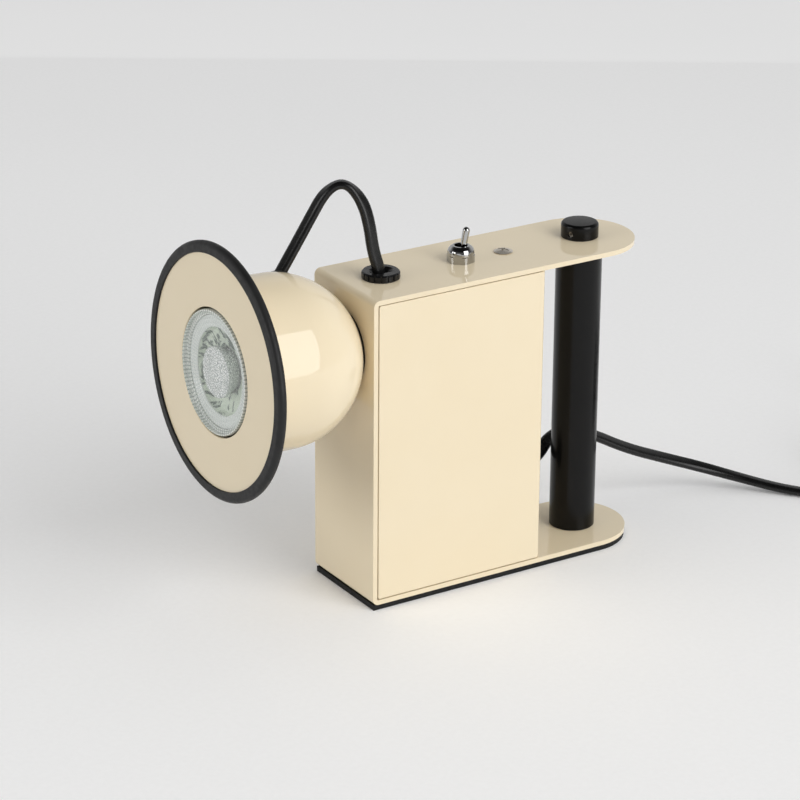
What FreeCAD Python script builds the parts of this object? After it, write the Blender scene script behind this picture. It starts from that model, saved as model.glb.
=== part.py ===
import FreeCAD, Part
import math
import os

# Tabletop searchlight lamp: a bent strip body with a push-in rear cover and a
# round handle, and a round head that a magnet holds in a seat ring.
# Millimetres. The origin is on the table at the middle of the base, +Z is up,
# the head looks along -Y, the handle is at +Y and the seen side is +X.

Vector = FreeCAD.Vector
X_AXIS = Vector(1, 0, 0)
Y_AXIS = Vector(0, 1, 0)
Z_AXIS = Vector(0, 0, 1)
FORWARD = Vector(0, -1, 0)

# ---------------------------------------------------------------- body sizes
body_length = 135.0
body_width = 45.0
sheet = 2.0
bend_outside = 2.6
bend_inside = 0.6
pad_thickness = 2.3

cover_sheet = 1.5
cover_gap = 0.3
cover_corner = 2.2
cover_panel_corner = 0.8
cover_back_distance = 81.0      # front face of the body to the back of the cover
tab_width = 18.0
tab_length = 12.0
cover_screw_inset = 6.0         # screw axis in front of the back of the cover
cover_screw_radius = 2.0
cover_screw_length = 9.0
cover_screw_head_radius = 3.9
cover_screw_head_height = 1.3
screw_rim_height = 0.32
screw_cross_reach = 2.0
screw_cross_width = 0.8
screw_clearance = 0.2
cover_nut_radius = 3.6
cover_nut_height = 3.0

post_radius = 9.5
rod_radius = 3.0
rod_clearance = 0.25
rod_head_radius = 7.0
rod_head_height = 1.9
rod_socket_across = 4.0
rod_socket_depth = 1.3
cap_radius = 7.45
cap_height = 6.4
cap_edge = 1.3
cap_roof = 1.4
grub_radius = 1.2
grub_below_surface = 0.8
grub_rod_gap = 0.05
grub_socket_across = 1.3
grub_socket_depth = 1.4
grub_height = 2.6
grub_turn = -66.0               # degrees round the post from +X
pad_hole_clearance = 1.2

# ------------------------------------------------------------ toggle switch
toggle_to_cover_back = 26.4     # switch axis in front of the back of the cover
toggle_bush_wall = 0.7
toggle_bush_flange_radius = 4.0
toggle_bush_flange = 1.0
toggle_hole_clearance = 0.2
toggle_washer_radius = 5.0
toggle_washer = 0.4
toggle_nut_across = 8.0
toggle_nut_height = 2.0
toggle_body_gap = 0.6
toggle_body_width = 8.0
toggle_body_length = 13.0
toggle_body_height = 10.0
toggle_body_well = 5.0
dress_nut_across = 10.6
dress_nut_skirt = 2.6
dress_nut_height = 6.6
dress_nut_lip = 0.75            # width of the flat ring round the opening
dress_nut_bulge = 0.8           # how far the bell stands out from a straight cone
lever_top_radius = 1.45
lever_foot_radius = 1.1
lever_ball_radius = 2.1
lever_ball_gap = 0.2
lever_neck_radius = 1.33        # lever and clearance where it leaves the bushing
lever_above_pivot = 14.0
lever_below_pivot = 6.0
lever_lean = 11.0               # degrees each way from upright
pivot_pin_radius = 0.6
lug_width = 2.2
lug_thickness = 0.6
lug_length = 5.0
lug_pitch = 4.2
lug_eye_radius = 0.55
lug_eye_height = 1.5

# ------------------------------------------------------------ cable bushings
gland_flange_radius = 7.7
gland_flange = 3.0
gland_chamfer = 0.6
gland_ribs = 18
gland_groove_depth = 0.4
gland_groove_width = 0.7
gland_sleeve_radius = 5.2
gland_sleeve_length = 5.6       # behind the wall
gland_hole_clearance = 0.2
gland_slot_width = 6.6
gland_slot_play = 0.2
gland_mouth_width = 10.4
gland_mouth_height = 7.4
gland_mouth_depth = 1.9
gland_nut_across = 13.0
gland_nut_height = 3.0
gland_bridge_gap = 0.6
rear_gland_x = -6.0
rear_gland_z = 30.0

# --------------------------------------------------------------- head sizes
dome_radius = 35.0
dome_wall = 1.2
face_plate = 1.5
bulb_hole_gap = 0.7
head_height = 106.7             # dome centre over the table
head_rest_tilt = 1.8            # degrees upwards
rim_outer_radius = 51.5
rim_wall = 2.0                  # rubber outside the edge of the face plate
rim_lap = 2.6                   # rubber over the front and back of the plate
rim_front_lip = 0.8
rim_back_lip = 1.5
rim_round = 1.8

# magnetic ball seat
seat_clearance = 0.3
seat_sink = 0.5666              # ball surface behind the body's front, at the seat's bore
seat_flange_radius = 19.0
seat_flange_lap = 2.7
seat_flange_proud = 1.7
seat_edge_round = 0.8
seat_play = 0.1
seat_wall = 2.8
seat_hole_clearance = 0.2
seat_lip_reach = 0.9
seat_lip = 1.0
magnet_gap = 0.35
magnet_side_gap = 1.0
magnet_cup_wall = 1.2
magnet_cup_depth = 6.4
magnet_floor = 1.6
magnet_fit = 0.1
magnet_stud_radius = 2.0
magnet_stud_length = 5.5
magnet_nut_across = 7.0
magnet_nut_height = 3.0
bridge_sheet = 1.5
bridge_width = 16.0
bridge_lip_gap = 0.7
bridge_foot = 3.6
bridge_top_gap = 0.6

# GU10 reflector lamp, 50 mm
bulb_radius = 25.0
bulb_proud = 0.5
bulb_length_to_base = 45.5
bulb_glass = 1.2
bulb_band = 2.4                 # straight band behind the rim
bulb_step = 1.2
bulb_cone_inset = 1.3
bulb_cone_steps = 6
bulb_lens_edge = 1.2
bulb_lens_fit = 0.05
bulb_lens_crown = 1.3
bulb_lens_inset = 1.8
bulb_optic_radius = 10.3
bulb_optic_foot_radius = 5.0
bulb_optic_depth = 12.0
bulb_optic_band = 1.5
bulb_board_radius = 15.0
bulb_board = 1.6
bulb_collar_radius = 11.5
bulb_collar_height = 2.0
bulb_collar_slope = 1.6
bulb_base_radius = 8.5
bulb_base_height = 8.6
pin_spacing = 10.0
pin_radius = 1.4
pin_head_radius = 2.4
pin_head = 2.2
pin_length = 6.5
holder_gap = 0.1                # between the bulb's base and its holder
holder_radius = 10.0
holder_height = 11.0
holder_slot_play = 0.3
holder_slot_floor = 0.7         # room under the pins
holder_screw_radius = 1.4
holder_screw_head_radius = 2.2
holder_screw_head = 2.4
holder_screw_sink = 1.0
holder_screw_offset = 6.6
driver_slot_width = 0.6
driver_slot_depth = 0.8
strap_sheet = 1.2
strap_width = 14.0
strap_end = 4.0                 # strap ends this far ahead of the dome centre
strap_back_gap = 2.9            # from the strap's plate to the back of the dome

# flex inlet on the dome: direction from the dome centre with the head at rest
inlet_direction = Vector(-0.42, 0.385, 0.822)
inlet_bore_play = 0.05
inlet_neck_radius = 3.6
inlet_flange_radius = 5.0
inlet_flange = 1.0
inlet_inner_flange = 1.2

# --------------------------------------------------------------- inner parts
block_distance = 46.0           # middle of the terminal block from the front face
block_wall = 1.5
block_web = 0.15                # between a barrel and the middle screw
block_length = 16.0
block_height = 13.0
block_bore_radius = 2.0
barrel_wall = 0.8
barrel_inset = 1.5
clamp_screw_radius = 1.3
clamp_screw_head_radius = 1.7
clamp_screw_spacing = 7.0
clamp_screw_sink = 1.0
block_screw_radius = 1.25
block_screw_head_radius = 2.6
block_screw_head = 1.6
core_radius = 0.95
core_spacing = 2.6
core_steps = 8                  # straight runs that a core's curve is built from
supply_lead = 12.0              # how far the supply cores keep their first direction
rise_run = 22.0                 # the rising cores leave the block this far forward
rise_splay = 3.0
rise_climb = 8.0
lug_drop = 45.0                 # the live core comes up straight below its lug
gland_drop = 40.0               # and the neutral core below the bushing
gland_swing = 6.0
return_sag = 28.0               # sag of the switched core on its way to the bushing
holder_lead = 10.0

# --------------------------------------------------------------------- cords
cord_radius = 2.25              # round tube with the section area of the flat flex
bend_share = 0.45
coil_centre = Vector(30.0, 217.0, 0.0)
coil_outer_radius = 38.5
coil_inner_radius = 21.5
coil_height = 11.2
coil_edge = 3.0
relief_end = Vector(8.0, 258.4, 0.0)    # where the cord enters the strain relief
plug_width = 35.0
plug_thickness = 13.7
plug_neck_width = 14.0
plug_shoulder = 14.0            # length of the full-width part
plug_length = 36.0
plug_edge = 2.5
relief_length = 22.0
relief_big_radius = 4.2
relief_small_radius = 3.0
relief_grip = 7.0               # how far the cord goes into the strain relief
plug_pin_radius = 2.0
plug_pin_length = 19.0
plug_pin_spacing = 18.6

# ------------------------------------------------------------ derived places
half_width = body_width / 2
front_y = -body_length / 2
post_y = body_length / 2 - half_width

seat_sleeve_radius = seat_flange_radius - seat_flange_lap
seat_lip_radius = seat_sleeve_radius + seat_lip_reach
seat_bore_radius = seat_sleeve_radius - seat_wall
seat_ball_radius = dome_radius + seat_clearance
head_standoff = math.sqrt(seat_ball_radius ** 2 - seat_bore_radius ** 2) - seat_sink
head_centre = Vector(0, front_y - head_standoff, head_height)
magnet_cup_radius = seat_bore_radius - magnet_side_gap
magnet_front = head_standoff - dome_radius - magnet_gap
magnet_back = magnet_front - magnet_cup_depth
bridge_leg_distance = seat_lip_radius + bridge_lip_gap
bridge_foot_end = bridge_leg_distance + bridge_sheet + bridge_foot

underside_z = pad_thickness
floor_z = underside_z + sheet
ceiling_z = head_height + bridge_foot_end + bridge_top_gap
top_z = ceiling_z + sheet
inner_front_y = front_y + sheet
cover_back_y = front_y + cover_back_distance
cover_front_y = inner_front_y + cover_gap
cover_screw_y = cover_back_y - cover_screw_inset
toggle_y = cover_back_y - toggle_to_cover_back
gland_y = front_y - magnet_back + bridge_sheet + gland_bridge_gap + gland_sleeve_radius
block_y = front_y + block_distance
block_bore_z = floor_z + block_height / 2
block_pitch = 2 * (block_bore_radius + barrel_wall + block_screw_radius + block_web)
block_width = block_pitch + 2 * (block_bore_radius + barrel_wall + block_wall)
barrel_length = block_length - 2 * barrel_inset

toggle_bush_bore = lever_ball_radius + lever_ball_gap
toggle_bush_radius = toggle_bush_bore + toggle_bush_wall
lever_slope = math.tan(math.radians(lever_lean))
toggle_bush_above = (toggle_bush_bore - lever_neck_radius) / lever_slope
dress_nut_opening = lever_slope * dress_nut_height + lever_top_radius
rod_above_plate = cap_height - cap_roof
grub_length = cap_radius - rod_radius - grub_rod_gap - grub_below_surface
gland_slot_height = 2 * cord_radius + gland_slot_play

# along the head's own axis, from the dome centre
face_plate_radius = rim_outer_radius - rim_wall
rim_inner_radius = face_plate_radius - rim_lap
bulb_hole_radius = bulb_radius + bulb_hole_gap
bulb_cone_radius = bulb_radius - bulb_cone_inset
inlet_axis = Vector(inlet_direction).normalize()
inlet_bore_radius = cord_radius + inlet_bore_play
dome_inside = dome_radius - dome_wall
holder_back = strap_sheet + strap_back_gap - dome_inside
holder_front = holder_back + holder_height
bulb_base_end = holder_front + holder_gap
bulb_front = bulb_base_end + bulb_length_to_base
face_distance = bulb_front - bulb_proud
holder_slot_radius = pin_head_radius + holder_slot_play
holder_slot_depth = pin_length + holder_slot_floor
MARGIN = 1.0                    # overshoot of cutting tools
STRAIGHT = 0.001                # a turn that needs no arc, in radians


# ------------------------------------------------------------ basic builders
def block(x0, x1, y0, y1, z0, z1):
    """A box between two corners."""
    return Part.makeBox(x1 - x0, y1 - y0, z1 - z0, Vector(x0, y0, z0))


def upright(radius, z0, z1, x=0.0, y=0.0):
    """A cylinder along Z."""
    return Part.makeCylinder(radius, z1 - z0, Vector(x, y, z0))


def rod_y(radius, x, y0, y1, z):
    """A cylinder along Y."""
    return Part.makeCylinder(radius, y1 - y0, Vector(x, y0, z), Y_AXIS)


def bored(shape, radius, z0, z1, x=0.0, y=0.0):
    """A shape with a hole right through it along Z."""
    return shape.cut(upright(radius, z0 - MARGIN, z1 + MARGIN, x, y))


def rims_at(shape, z):
    """Edges that lie flat at one height."""
    return [e for e in shape.Edges if abs(e.BoundBox.ZMin - z) < 1e-3 and e.BoundBox.ZLength < 1e-3]


def turned(profile):
    """A solid of revolution round Z from (radius, height) points."""
    points = [Vector(r, 0, z) for r, z in profile]
    face = Part.Face(Part.makePolygon(points + [points[0]]))
    return face.revolve(Vector(), Z_AXIS, 360)


def turned_edges(edges):
    """A solid of revolution round Z from joined edges in the XZ plane."""
    return Part.Face(Part.Wire(edges)).revolve(Vector(), Z_AXIS, 360)


def along(shape, base, direction):
    """Moves a shape built on +Z to a base point and a direction."""
    moved = shape.copy()
    turn = FreeCAD.Rotation(Z_AXIS, direction)
    moved.Placement = FreeCAD.Placement(base, turn).multiply(moved.Placement)
    return moved


def hexagon(across_flats, z0, z1):
    """A hexagonal prism on the Z axis."""
    corner = across_flats / 2 / math.cos(math.pi / 6)
    angles = [math.radians(60 * i + 30) for i in range(6)]
    points = [Vector(corner * math.cos(a), corner * math.sin(a), z0) for a in angles]
    return Part.Face(Part.makePolygon(points + [points[0]])).extrude(Vector(0, 0, z1 - z0))


def slot_prism(width, height, z0, z1):
    """A prism with round ends, long in X."""
    radius = height / 2
    offset = (width - height) / 2
    middle = block(-offset, offset, -radius, radius, z0, z1)
    left = upright(radius, z0, z1, -offset)
    right = upright(radius, z0, z1, offset)
    return middle.fuse([left, right]).removeSplitter()


def driver_slot(head_radius, top, x=0.0, y=0.0):
    """Cutting tool for a straight driver slot in a screw head."""
    half = driver_slot_width / 2
    low = top - driver_slot_depth
    return block(x - head_radius, x + head_radius, y - half, y + half, low, top + MARGIN)


def union(shapes):
    """One solid from overlapping or touching shapes."""
    return shapes[0].fuse(shapes[1:]).removeSplitter()


def group(shapes):
    """Several separate solids kept together in one node."""
    return Part.makeCompound(shapes)


def line(a, b):
    return Part.LineSegment(a, b).toShape()


def arc(a, middle, b):
    return Part.Arc(a, middle, b).toShape()


def plan_outline(z0, z1):
    """The body's plan: straight front, sides, and a round rear end."""
    a = Vector(-half_width, front_y, z0)
    b = Vector(half_width, front_y, z0)
    c = Vector(half_width, post_y, z0)
    tip = Vector(0, post_y + half_width, z0)
    d = Vector(-half_width, post_y, z0)
    wire = Part.Wire([line(a, b), line(b, c), arc(c, tip, d), line(d, a)])
    return Part.Face(wire).extrude(Vector(0, 0, z1 - z0))


def edges_along_x(shape, y, levels):
    """Edges parallel to X at a given y and at one of the given heights."""
    found = []
    for edge in shape.Edges:
        box = edge.BoundBox
        level = min(abs(box.ZMin - z) for z in levels)
        flat = box.YLength < 1e-3 and box.ZLength < 1e-3
        if flat and abs(box.YMin - y) < 1e-3 and level < 1e-3 and box.XLength > 1e-3:
            found.append(edge)
    return found


def route_edges(points, radii):
    """Straight runs joined by tangent arcs through a list of points."""
    edges = []
    start = points[0]
    for before, corner, after in zip(points, points[1:], points[2:]):
        first = corner - before
        second = after - corner
        reach = bend_share * min(first.Length, second.Length)
        first.normalize()
        second.normalize()
        turn = first.getAngle(second)
        if turn < STRAIGHT:
            continue
        radius = reach / math.tan(turn / 2)
        inward = (second - first).normalize()
        middle = corner + inward * (radius / math.cos(turn / 2) - radius)
        entry = corner - first * reach
        leave = corner + second * reach
        edges.append(line(start, entry))
        edges.append(arc(entry, middle, leave))
        radii.append(radius)
        start = leave
    edges.append(line(start, points[-1]))
    return edges


def tube(points, radius, name):
    """A round tube along a route; prints its length and its bends."""
    radii = []
    path = Part.Wire(route_edges(points, radii))
    direction = points[1] - points[0]
    profile = Part.Wire(Part.makeCircle(radius, points[0], direction))
    solid = path.makePipeShell([profile], True, False)
    expected = math.pi * radius ** 2 * path.Length
    share = solid.Volume / expected
    print(f"{name}: length {path.Length:.1f}, smallest bend {min(radii):.1f}, volume ratio {share:.4f}")
    return solid


# ---------------------------------------------------------------------- body
def rear_gland_point():
    return Vector(rear_gland_x, cover_back_y, rear_gland_z)


def make_body_strip():
    outer = plan_outline(underside_z, top_z)
    outer = outer.makeFillet(bend_outside, edges_along_x(outer, front_y, [underside_z, top_z]))
    inner = block(-body_width, body_width, inner_front_y, body_length, floor_z, ceiling_z)
    inner = inner.makeFillet(bend_inside, edges_along_x(inner, inner_front_y, [floor_z, ceiling_z]))
    strip = outer.cut(inner)
    seat_hole = Part.makeCylinder(
        seat_sleeve_radius + seat_hole_clearance,
        sheet + 2 * MARGIN,
        Vector(0, front_y - MARGIN, head_height),
        Y_AXIS,
    )
    rod_hole = rod_radius + rod_clearance
    screw_hole = cover_screw_radius + screw_clearance
    toggle_hole = toggle_bush_radius + toggle_hole_clearance
    gland_hole = gland_sleeve_radius + gland_hole_clearance
    holes = [
        seat_hole,
        upright(rod_hole, underside_z - MARGIN, top_z + MARGIN, 0, post_y),
        upright(screw_hole, underside_z - MARGIN, top_z + MARGIN, 0, cover_screw_y),
        upright(toggle_hole, ceiling_z - MARGIN, top_z + MARGIN, 0, toggle_y),
        upright(gland_hole, ceiling_z - MARGIN, top_z + MARGIN, 0, gland_y),
    ]
    block_hole = upright(block_screw_radius, underside_z - MARGIN, floor_z + MARGIN, 0, block_y)
    return strip.cut(holes + [block_hole])


def make_base_pad():
    pad = plan_outline(0, pad_thickness)
    pad = bored(pad, rod_head_radius + pad_hole_clearance, 0, pad_thickness, 0, post_y)
    return bored(pad, cover_screw_head_radius + pad_hole_clearance, 0, pad_thickness, 0, cover_screw_y)


def cover_plan(inset, rear_radius, front):
    """Plan face of the cover, shrunk by an inset, with round rear corners."""
    side = half_width - inset
    back = cover_back_y - inset
    z = floor_z + cover_gap
    diagonal = rear_radius * (1 - math.sqrt(0.5))
    right = [Vector(side, front, z), Vector(side, back - rear_radius, z)]
    right_end = Vector(side - rear_radius, back, z)
    right_middle = Vector(side - diagonal, back - diagonal, z)
    left = [Vector(-v.x, v.y, v.z) for v in right]
    left_end = Vector(-right_end.x, right_end.y, z)
    left_middle = Vector(-right_middle.x, right_middle.y, z)
    edges = [
        line(left[0], right[0]),
        line(right[0], right[1]),
        arc(right[1], right_middle, right_end),
        line(right_end, left_end),
        arc(left_end, left_middle, left[1]),
        line(left[1], left[0]),
    ]
    return Part.Face(Part.Wire(edges))


def make_rear_cover():
    height = ceiling_z - floor_z - 2 * cover_gap
    rise = Vector(0, 0, height)
    outer = cover_plan(0, cover_corner, cover_front_y).extrude(rise)
    inner = cover_plan(cover_sheet, cover_corner - cover_sheet, cover_front_y - MARGIN).extrude(rise)
    cover = outer.cut(inner)
    levels = [floor_z + cover_gap, ceiling_z - cover_gap]
    cover = cover.makeFillet(cover_panel_corner, edges_along_x(cover, cover_front_y, levels))
    tab_front = cover_back_y - cover_sheet - tab_length
    tab_hole = cover_screw_radius + screw_clearance
    tabs = []
    for low in (floor_z, ceiling_z - cover_sheet):
        high = low + cover_sheet
        tab = block(-tab_width / 2, tab_width / 2, tab_front, cover_back_y, low, high)
        tabs.append(bored(tab, tab_hole, low, high, 0, cover_screw_y))
    cover = union([cover] + tabs)
    opening = along(
        upright(gland_sleeve_radius + gland_hole_clearance, -cover_sheet - MARGIN, MARGIN),
        rear_gland_point(),
        Y_AXIS,
    )
    return cover.cut(opening)


def phillips_screw():
    """Raised-head screw on Z, underside of the head at z = 0."""
    rise = cover_screw_head_height
    edge = screw_rim_height
    crown = rise - edge
    radius = (cover_screw_head_radius ** 2 + crown ** 2) / (2 * crown)
    half = math.asin(cover_screw_head_radius / radius) / 2
    top = Vector(0, 0, rise)
    side = Vector(cover_screw_head_radius, 0, edge)
    between = Vector(radius * math.sin(half), 0, rise - radius * (1 - math.cos(half)))
    head = turned_edges([
        line(Vector(0, 0, 0), Vector(cover_screw_head_radius, 0, 0)),
        line(Vector(cover_screw_head_radius, 0, 0), side),
        arc(side, between, top),
        line(top, Vector(0, 0, 0)),
    ])
    shank = upright(cover_screw_radius, -cover_screw_length, 0)
    screw = union([head, shank])
    wing = screw_cross_reach
    slot = screw_cross_width / 2
    long_way = block(-wing, wing, -slot, slot, edge, rise + MARGIN)
    cross_way = block(-slot, slot, -wing, wing, edge, rise + MARGIN)
    return screw.cut([long_way, cross_way])


def make_cover_screws():
    screw = phillips_screw()
    top = along(screw, Vector(0, cover_screw_y, top_z), Z_AXIS)
    bottom = along(screw, Vector(0, cover_screw_y, underside_z), -Z_AXIS)
    return group([top, bottom])


def make_cover_nuts():
    nut = upright(cover_nut_radius, 0, cover_nut_height)
    nut = bored(nut, cover_screw_radius, 0, cover_nut_height)
    top = along(nut, Vector(0, cover_screw_y, ceiling_z - cover_sheet), -Z_AXIS)
    bottom = along(nut, Vector(0, cover_screw_y, floor_z + cover_sheet), Z_AXIS)
    return group([top, bottom])


# -------------------------------------------------------------------- handle
def make_handle_post():
    post = upright(post_radius, floor_z, ceiling_z, 0, post_y)
    return bored(post, rod_radius + rod_clearance, floor_z, ceiling_z, 0, post_y)


def make_handle_rod():
    head = upright(rod_head_radius, underside_z - rod_head_height, underside_z, 0, post_y)
    shank = upright(rod_radius, underside_z, top_z + rod_above_plate, 0, post_y)
    socket = hexagon(rod_socket_across, -MARGIN, rod_socket_depth)
    low = Vector(0, post_y, underside_z - rod_head_height)
    return union([head, shank]).cut(along(socket, low, Z_AXIS))


def grub_axis():
    angle = math.radians(grub_turn)
    return Vector(math.cos(angle), math.sin(angle), 0)


def make_handle_cap():
    cap = upright(cap_radius, 0, cap_height)
    cap = cap.makeFillet(cap_edge, rims_at(cap, cap_height))
    cap = cap.cut(upright(rod_radius, -MARGIN, cap_height - cap_roof))
    hole = along(upright(grub_radius, 0, cap_radius + MARGIN), Vector(0, 0, grub_height), grub_axis())
    return along(cap.cut(hole), Vector(0, post_y, top_z), Z_AXIS)


def make_cap_grub_screw():
    grub = upright(grub_radius, 0, grub_length)
    grub = grub.cut(hexagon(grub_socket_across, grub_length - grub_socket_depth, grub_length + MARGIN))
    start = Vector(0, post_y, top_z + grub_height) + grub_axis() * (rod_radius + grub_rod_gap)
    return along(grub, start, grub_axis())


# ------------------------------------------------------------- toggle switch
def toggle_place(shape):
    """Moves a switch piece built round Z, plate top at z = 0, to its hole."""
    return along(shape, Vector(0, toggle_y, top_z), Z_AXIS)


def toggle_levels():
    """Heights below the plate top: washer, nut, flange and body top."""
    washer = -sheet - toggle_washer
    nut = washer - toggle_nut_height
    flange = nut - toggle_body_gap
    return washer, nut, flange, flange - toggle_bush_flange


def make_toggle_bushing():
    washer, nut, flange, body = toggle_levels()
    sleeve = upright(toggle_bush_radius, body, toggle_bush_above)
    collar = upright(toggle_bush_flange_radius, body, flange)
    bore = upright(toggle_bush_bore, body - MARGIN, toggle_bush_above + MARGIN)
    pin_hole = Part.makeCylinder(pivot_pin_radius, body_width, Vector(-half_width, 0, 0), X_AXIS)
    return toggle_place(union([sleeve, collar]).cut([bore, pin_hole]))


def make_toggle_washer():
    washer, nut, flange, body = toggle_levels()
    ring = upright(toggle_washer_radius, washer, -sheet)
    return toggle_place(bored(ring, toggle_bush_radius, washer, -sheet))


def make_toggle_lock_nut():
    washer, nut, flange, body = toggle_levels()
    ring = hexagon(toggle_nut_across, nut, washer)
    return toggle_place(bored(ring, toggle_bush_radius, nut, washer))


def make_toggle_dress_nut():
    """Hexagon nut with a round bell that closes over the end of the bushing."""
    corner = dress_nut_across / 2 / math.cos(math.pi / 6)
    rim = dress_nut_opening + dress_nut_lip
    foot = Vector(corner, 0, dress_nut_skirt)
    top = Vector(rim, 0, dress_nut_height)
    outward = Vector(foot.z - top.z, 0, rim - corner).normalize() * -dress_nut_bulge
    bell = turned_edges([
        line(Vector(), Vector(corner, 0, 0)),
        line(Vector(corner, 0, 0), foot),
        arc(foot, (foot + top) / 2 + outward, top),
        line(top, Vector(0, 0, dress_nut_height)),
        line(Vector(0, 0, dress_nut_height), Vector()),
    ])
    nut = hexagon(dress_nut_across, 0, dress_nut_height).common(bell)
    thread = upright(toggle_bush_radius, -MARGIN, toggle_bush_above)
    mouth = upright(dress_nut_opening, -MARGIN, dress_nut_height + MARGIN)
    return toggle_place(nut.cut([thread, mouth]))


def make_toggle_body():
    body_top = toggle_levels()[3]
    half_x = toggle_body_width / 2
    half_y = toggle_body_length / 2
    case = block(-half_x, half_x, -half_y, half_y, body_top - toggle_body_height, body_top)
    well = upright(toggle_bush_bore, body_top - toggle_body_well, body_top + MARGIN)
    return toggle_place(case.cut(well))


def make_toggle_lugs():
    low = toggle_levels()[3] - toggle_body_height
    lugs = []
    for step in (-1, 0, 1):
        y = step * lug_pitch
        lug = block(
            -lug_width / 2, lug_width / 2,
            y - lug_thickness / 2, y + lug_thickness / 2,
            low - lug_length, low,
        )
        eye_z = low - lug_length + lug_eye_height
        eye = rod_y(lug_eye_radius, 0, y - lug_pitch / 2, y + lug_pitch / 2, eye_z)
        lugs.append(toggle_place(lug.cut(eye)))
    return group(lugs)


def make_toggle_pivot_pin():
    length = 2 * (toggle_bush_radius - toggle_hole_clearance / 2)
    pin = Part.makeCylinder(pivot_pin_radius, length, Vector(-length / 2, 0, 0), X_AXIS)
    return toggle_place(pin)


def make_toggle_lever():
    tip_z = lever_above_pivot - lever_top_radius
    upper = turned([(0, 0), (lever_foot_radius, 0), (lever_top_radius, tip_z), (0, tip_z)])
    tip = Part.makeSphere(lever_top_radius, Vector(0, 0, tip_z))
    ball = Part.makeSphere(lever_ball_radius)
    foot = upright(lever_foot_radius * 0.8, -lever_below_pivot, 0)
    lever = union([upper, tip, ball, foot])
    eye = pivot_pin_radius + toggle_hole_clearance / 2
    lever = lever.cut(Part.makeCylinder(eye, body_width, Vector(-half_width, 0, 0), X_AXIS))
    lever.rotate(Vector(), X_AXIS, -lever_lean)
    return toggle_place(lever)


# ------------------------------------------------------------ cable bushings
def slot_wire(width, height, z):
    """Outline of a slot with round ends, long in X."""
    radius = height / 2
    offset = width / 2 - radius
    tip = width / 2
    corners = [
        Vector(-offset, -radius, z),
        Vector(offset, -radius, z),
        Vector(offset, radius, z),
        Vector(-offset, radius, z),
    ]
    return Part.Wire([
        line(corners[0], corners[1]),
        arc(corners[1], Vector(tip, 0, z), corners[2]),
        line(corners[2], corners[3]),
        arc(corners[3], Vector(-tip, 0, z), corners[0]),
    ])


def gland_piece(wall):
    """Slotted bushing on Z with a funnel mouth: the wall's outer face is at z = 0."""
    flange = upright(gland_flange_radius, 0, gland_flange)
    flange = flange.makeChamfer(gland_chamfer, rims_at(flange, gland_flange))
    grooves = []
    for i in range(gland_ribs):
        groove = block(
            gland_flange_radius - gland_groove_depth, gland_flange_radius + MARGIN,
            -gland_groove_width / 2, gland_groove_width / 2,
            gland_chamfer, gland_flange + MARGIN,
        )
        groove.rotate(Vector(), Z_AXIS, 360 * i / gland_ribs)
        grooves.append(groove)
    flange = flange.cut(grooves)
    low = -wall - gland_sleeve_length
    sleeve = upright(gland_sleeve_radius, low, 0)
    slot = slot_prism(gland_slot_width, gland_slot_height, low - MARGIN, gland_flange + MARGIN)
    mouth = Part.makeLoft([
        slot_wire(gland_slot_width, gland_slot_height, gland_flange - gland_mouth_depth),
        slot_wire(gland_mouth_width, gland_mouth_height, gland_flange),
    ], True, True)
    return union([flange, sleeve]).cut([slot, mouth])


def gland_nut(wall):
    nut = hexagon(gland_nut_across, -wall - gland_nut_height, -wall)
    return bored(nut, gland_sleeve_radius, -wall - gland_nut_height, -wall)


def top_gland_place(shape):
    turned_slot = shape.copy()
    turned_slot.rotate(Vector(), Z_AXIS, 90)
    return along(turned_slot, Vector(0, gland_y, top_z), Z_AXIS)


def rear_gland_place(shape):
    return along(shape, rear_gland_point(), Y_AXIS)


# ------------------------------------------------------------- magnetic seat
def seat_place(shape):
    """Moves a piece built round Z, front face of the body at z = 0, out along -Y."""
    return along(shape, Vector(0, front_y, head_height), FORWARD)


def make_seat_ring():
    lip_front = -sheet - seat_play / 2
    ring = turned([
        (seat_bore_radius, seat_flange_proud),
        (seat_flange_radius - seat_edge_round, seat_flange_proud),
        (seat_flange_radius, seat_flange_proud - seat_edge_round),
        (seat_flange_radius, seat_play),
        (seat_sleeve_radius, seat_play),
        (seat_sleeve_radius, lip_front),
        (seat_lip_radius, lip_front),
        (seat_sleeve_radius, lip_front - seat_lip),
        (seat_bore_radius, lip_front - seat_lip),
    ])
    ball = Part.makeSphere(seat_ball_radius, Vector(0, 0, head_standoff))
    return seat_place(ring.cut(ball))


def make_magnet_cup():
    cup = upright(magnet_cup_radius, magnet_back, magnet_front)
    pocket_radius = magnet_cup_radius - magnet_cup_wall
    cup = cup.cut(upright(pocket_radius, magnet_back + magnet_floor, magnet_front + MARGIN))
    stud = upright(magnet_stud_radius, magnet_back - magnet_stud_length, magnet_back)
    return seat_place(union([cup, stud]))


def make_magnet_disc():
    radius = magnet_cup_radius - magnet_cup_wall - magnet_fit
    return seat_place(upright(radius, magnet_back + magnet_floor, magnet_front - magnet_fit))


def make_magnet_bridge():
    back = magnet_back - bridge_sheet
    half = bridge_width / 2
    leg = bridge_leg_distance
    outside = leg + bridge_sheet
    web = block(-half, half, -outside, outside, back, magnet_back)
    pieces = [web]
    for side in (-1, 1):
        inner, outer = sorted((side * leg, side * outside))
        pieces.append(block(-half, half, inner, outer, back, -sheet))
        foot = sorted((side * leg, side * bridge_foot_end))
        pieces.append(block(-half, half, foot[0], foot[1], -sheet - bridge_sheet, -sheet))
    bridge = union(pieces)
    return seat_place(bored(bridge, magnet_stud_radius + screw_clearance, back, magnet_back))


def make_magnet_nut():
    back = magnet_back - bridge_sheet
    nut = hexagon(magnet_nut_across, back - magnet_nut_height, back)
    return seat_place(bored(nut, magnet_stud_radius, back - magnet_nut_height, back))


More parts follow.
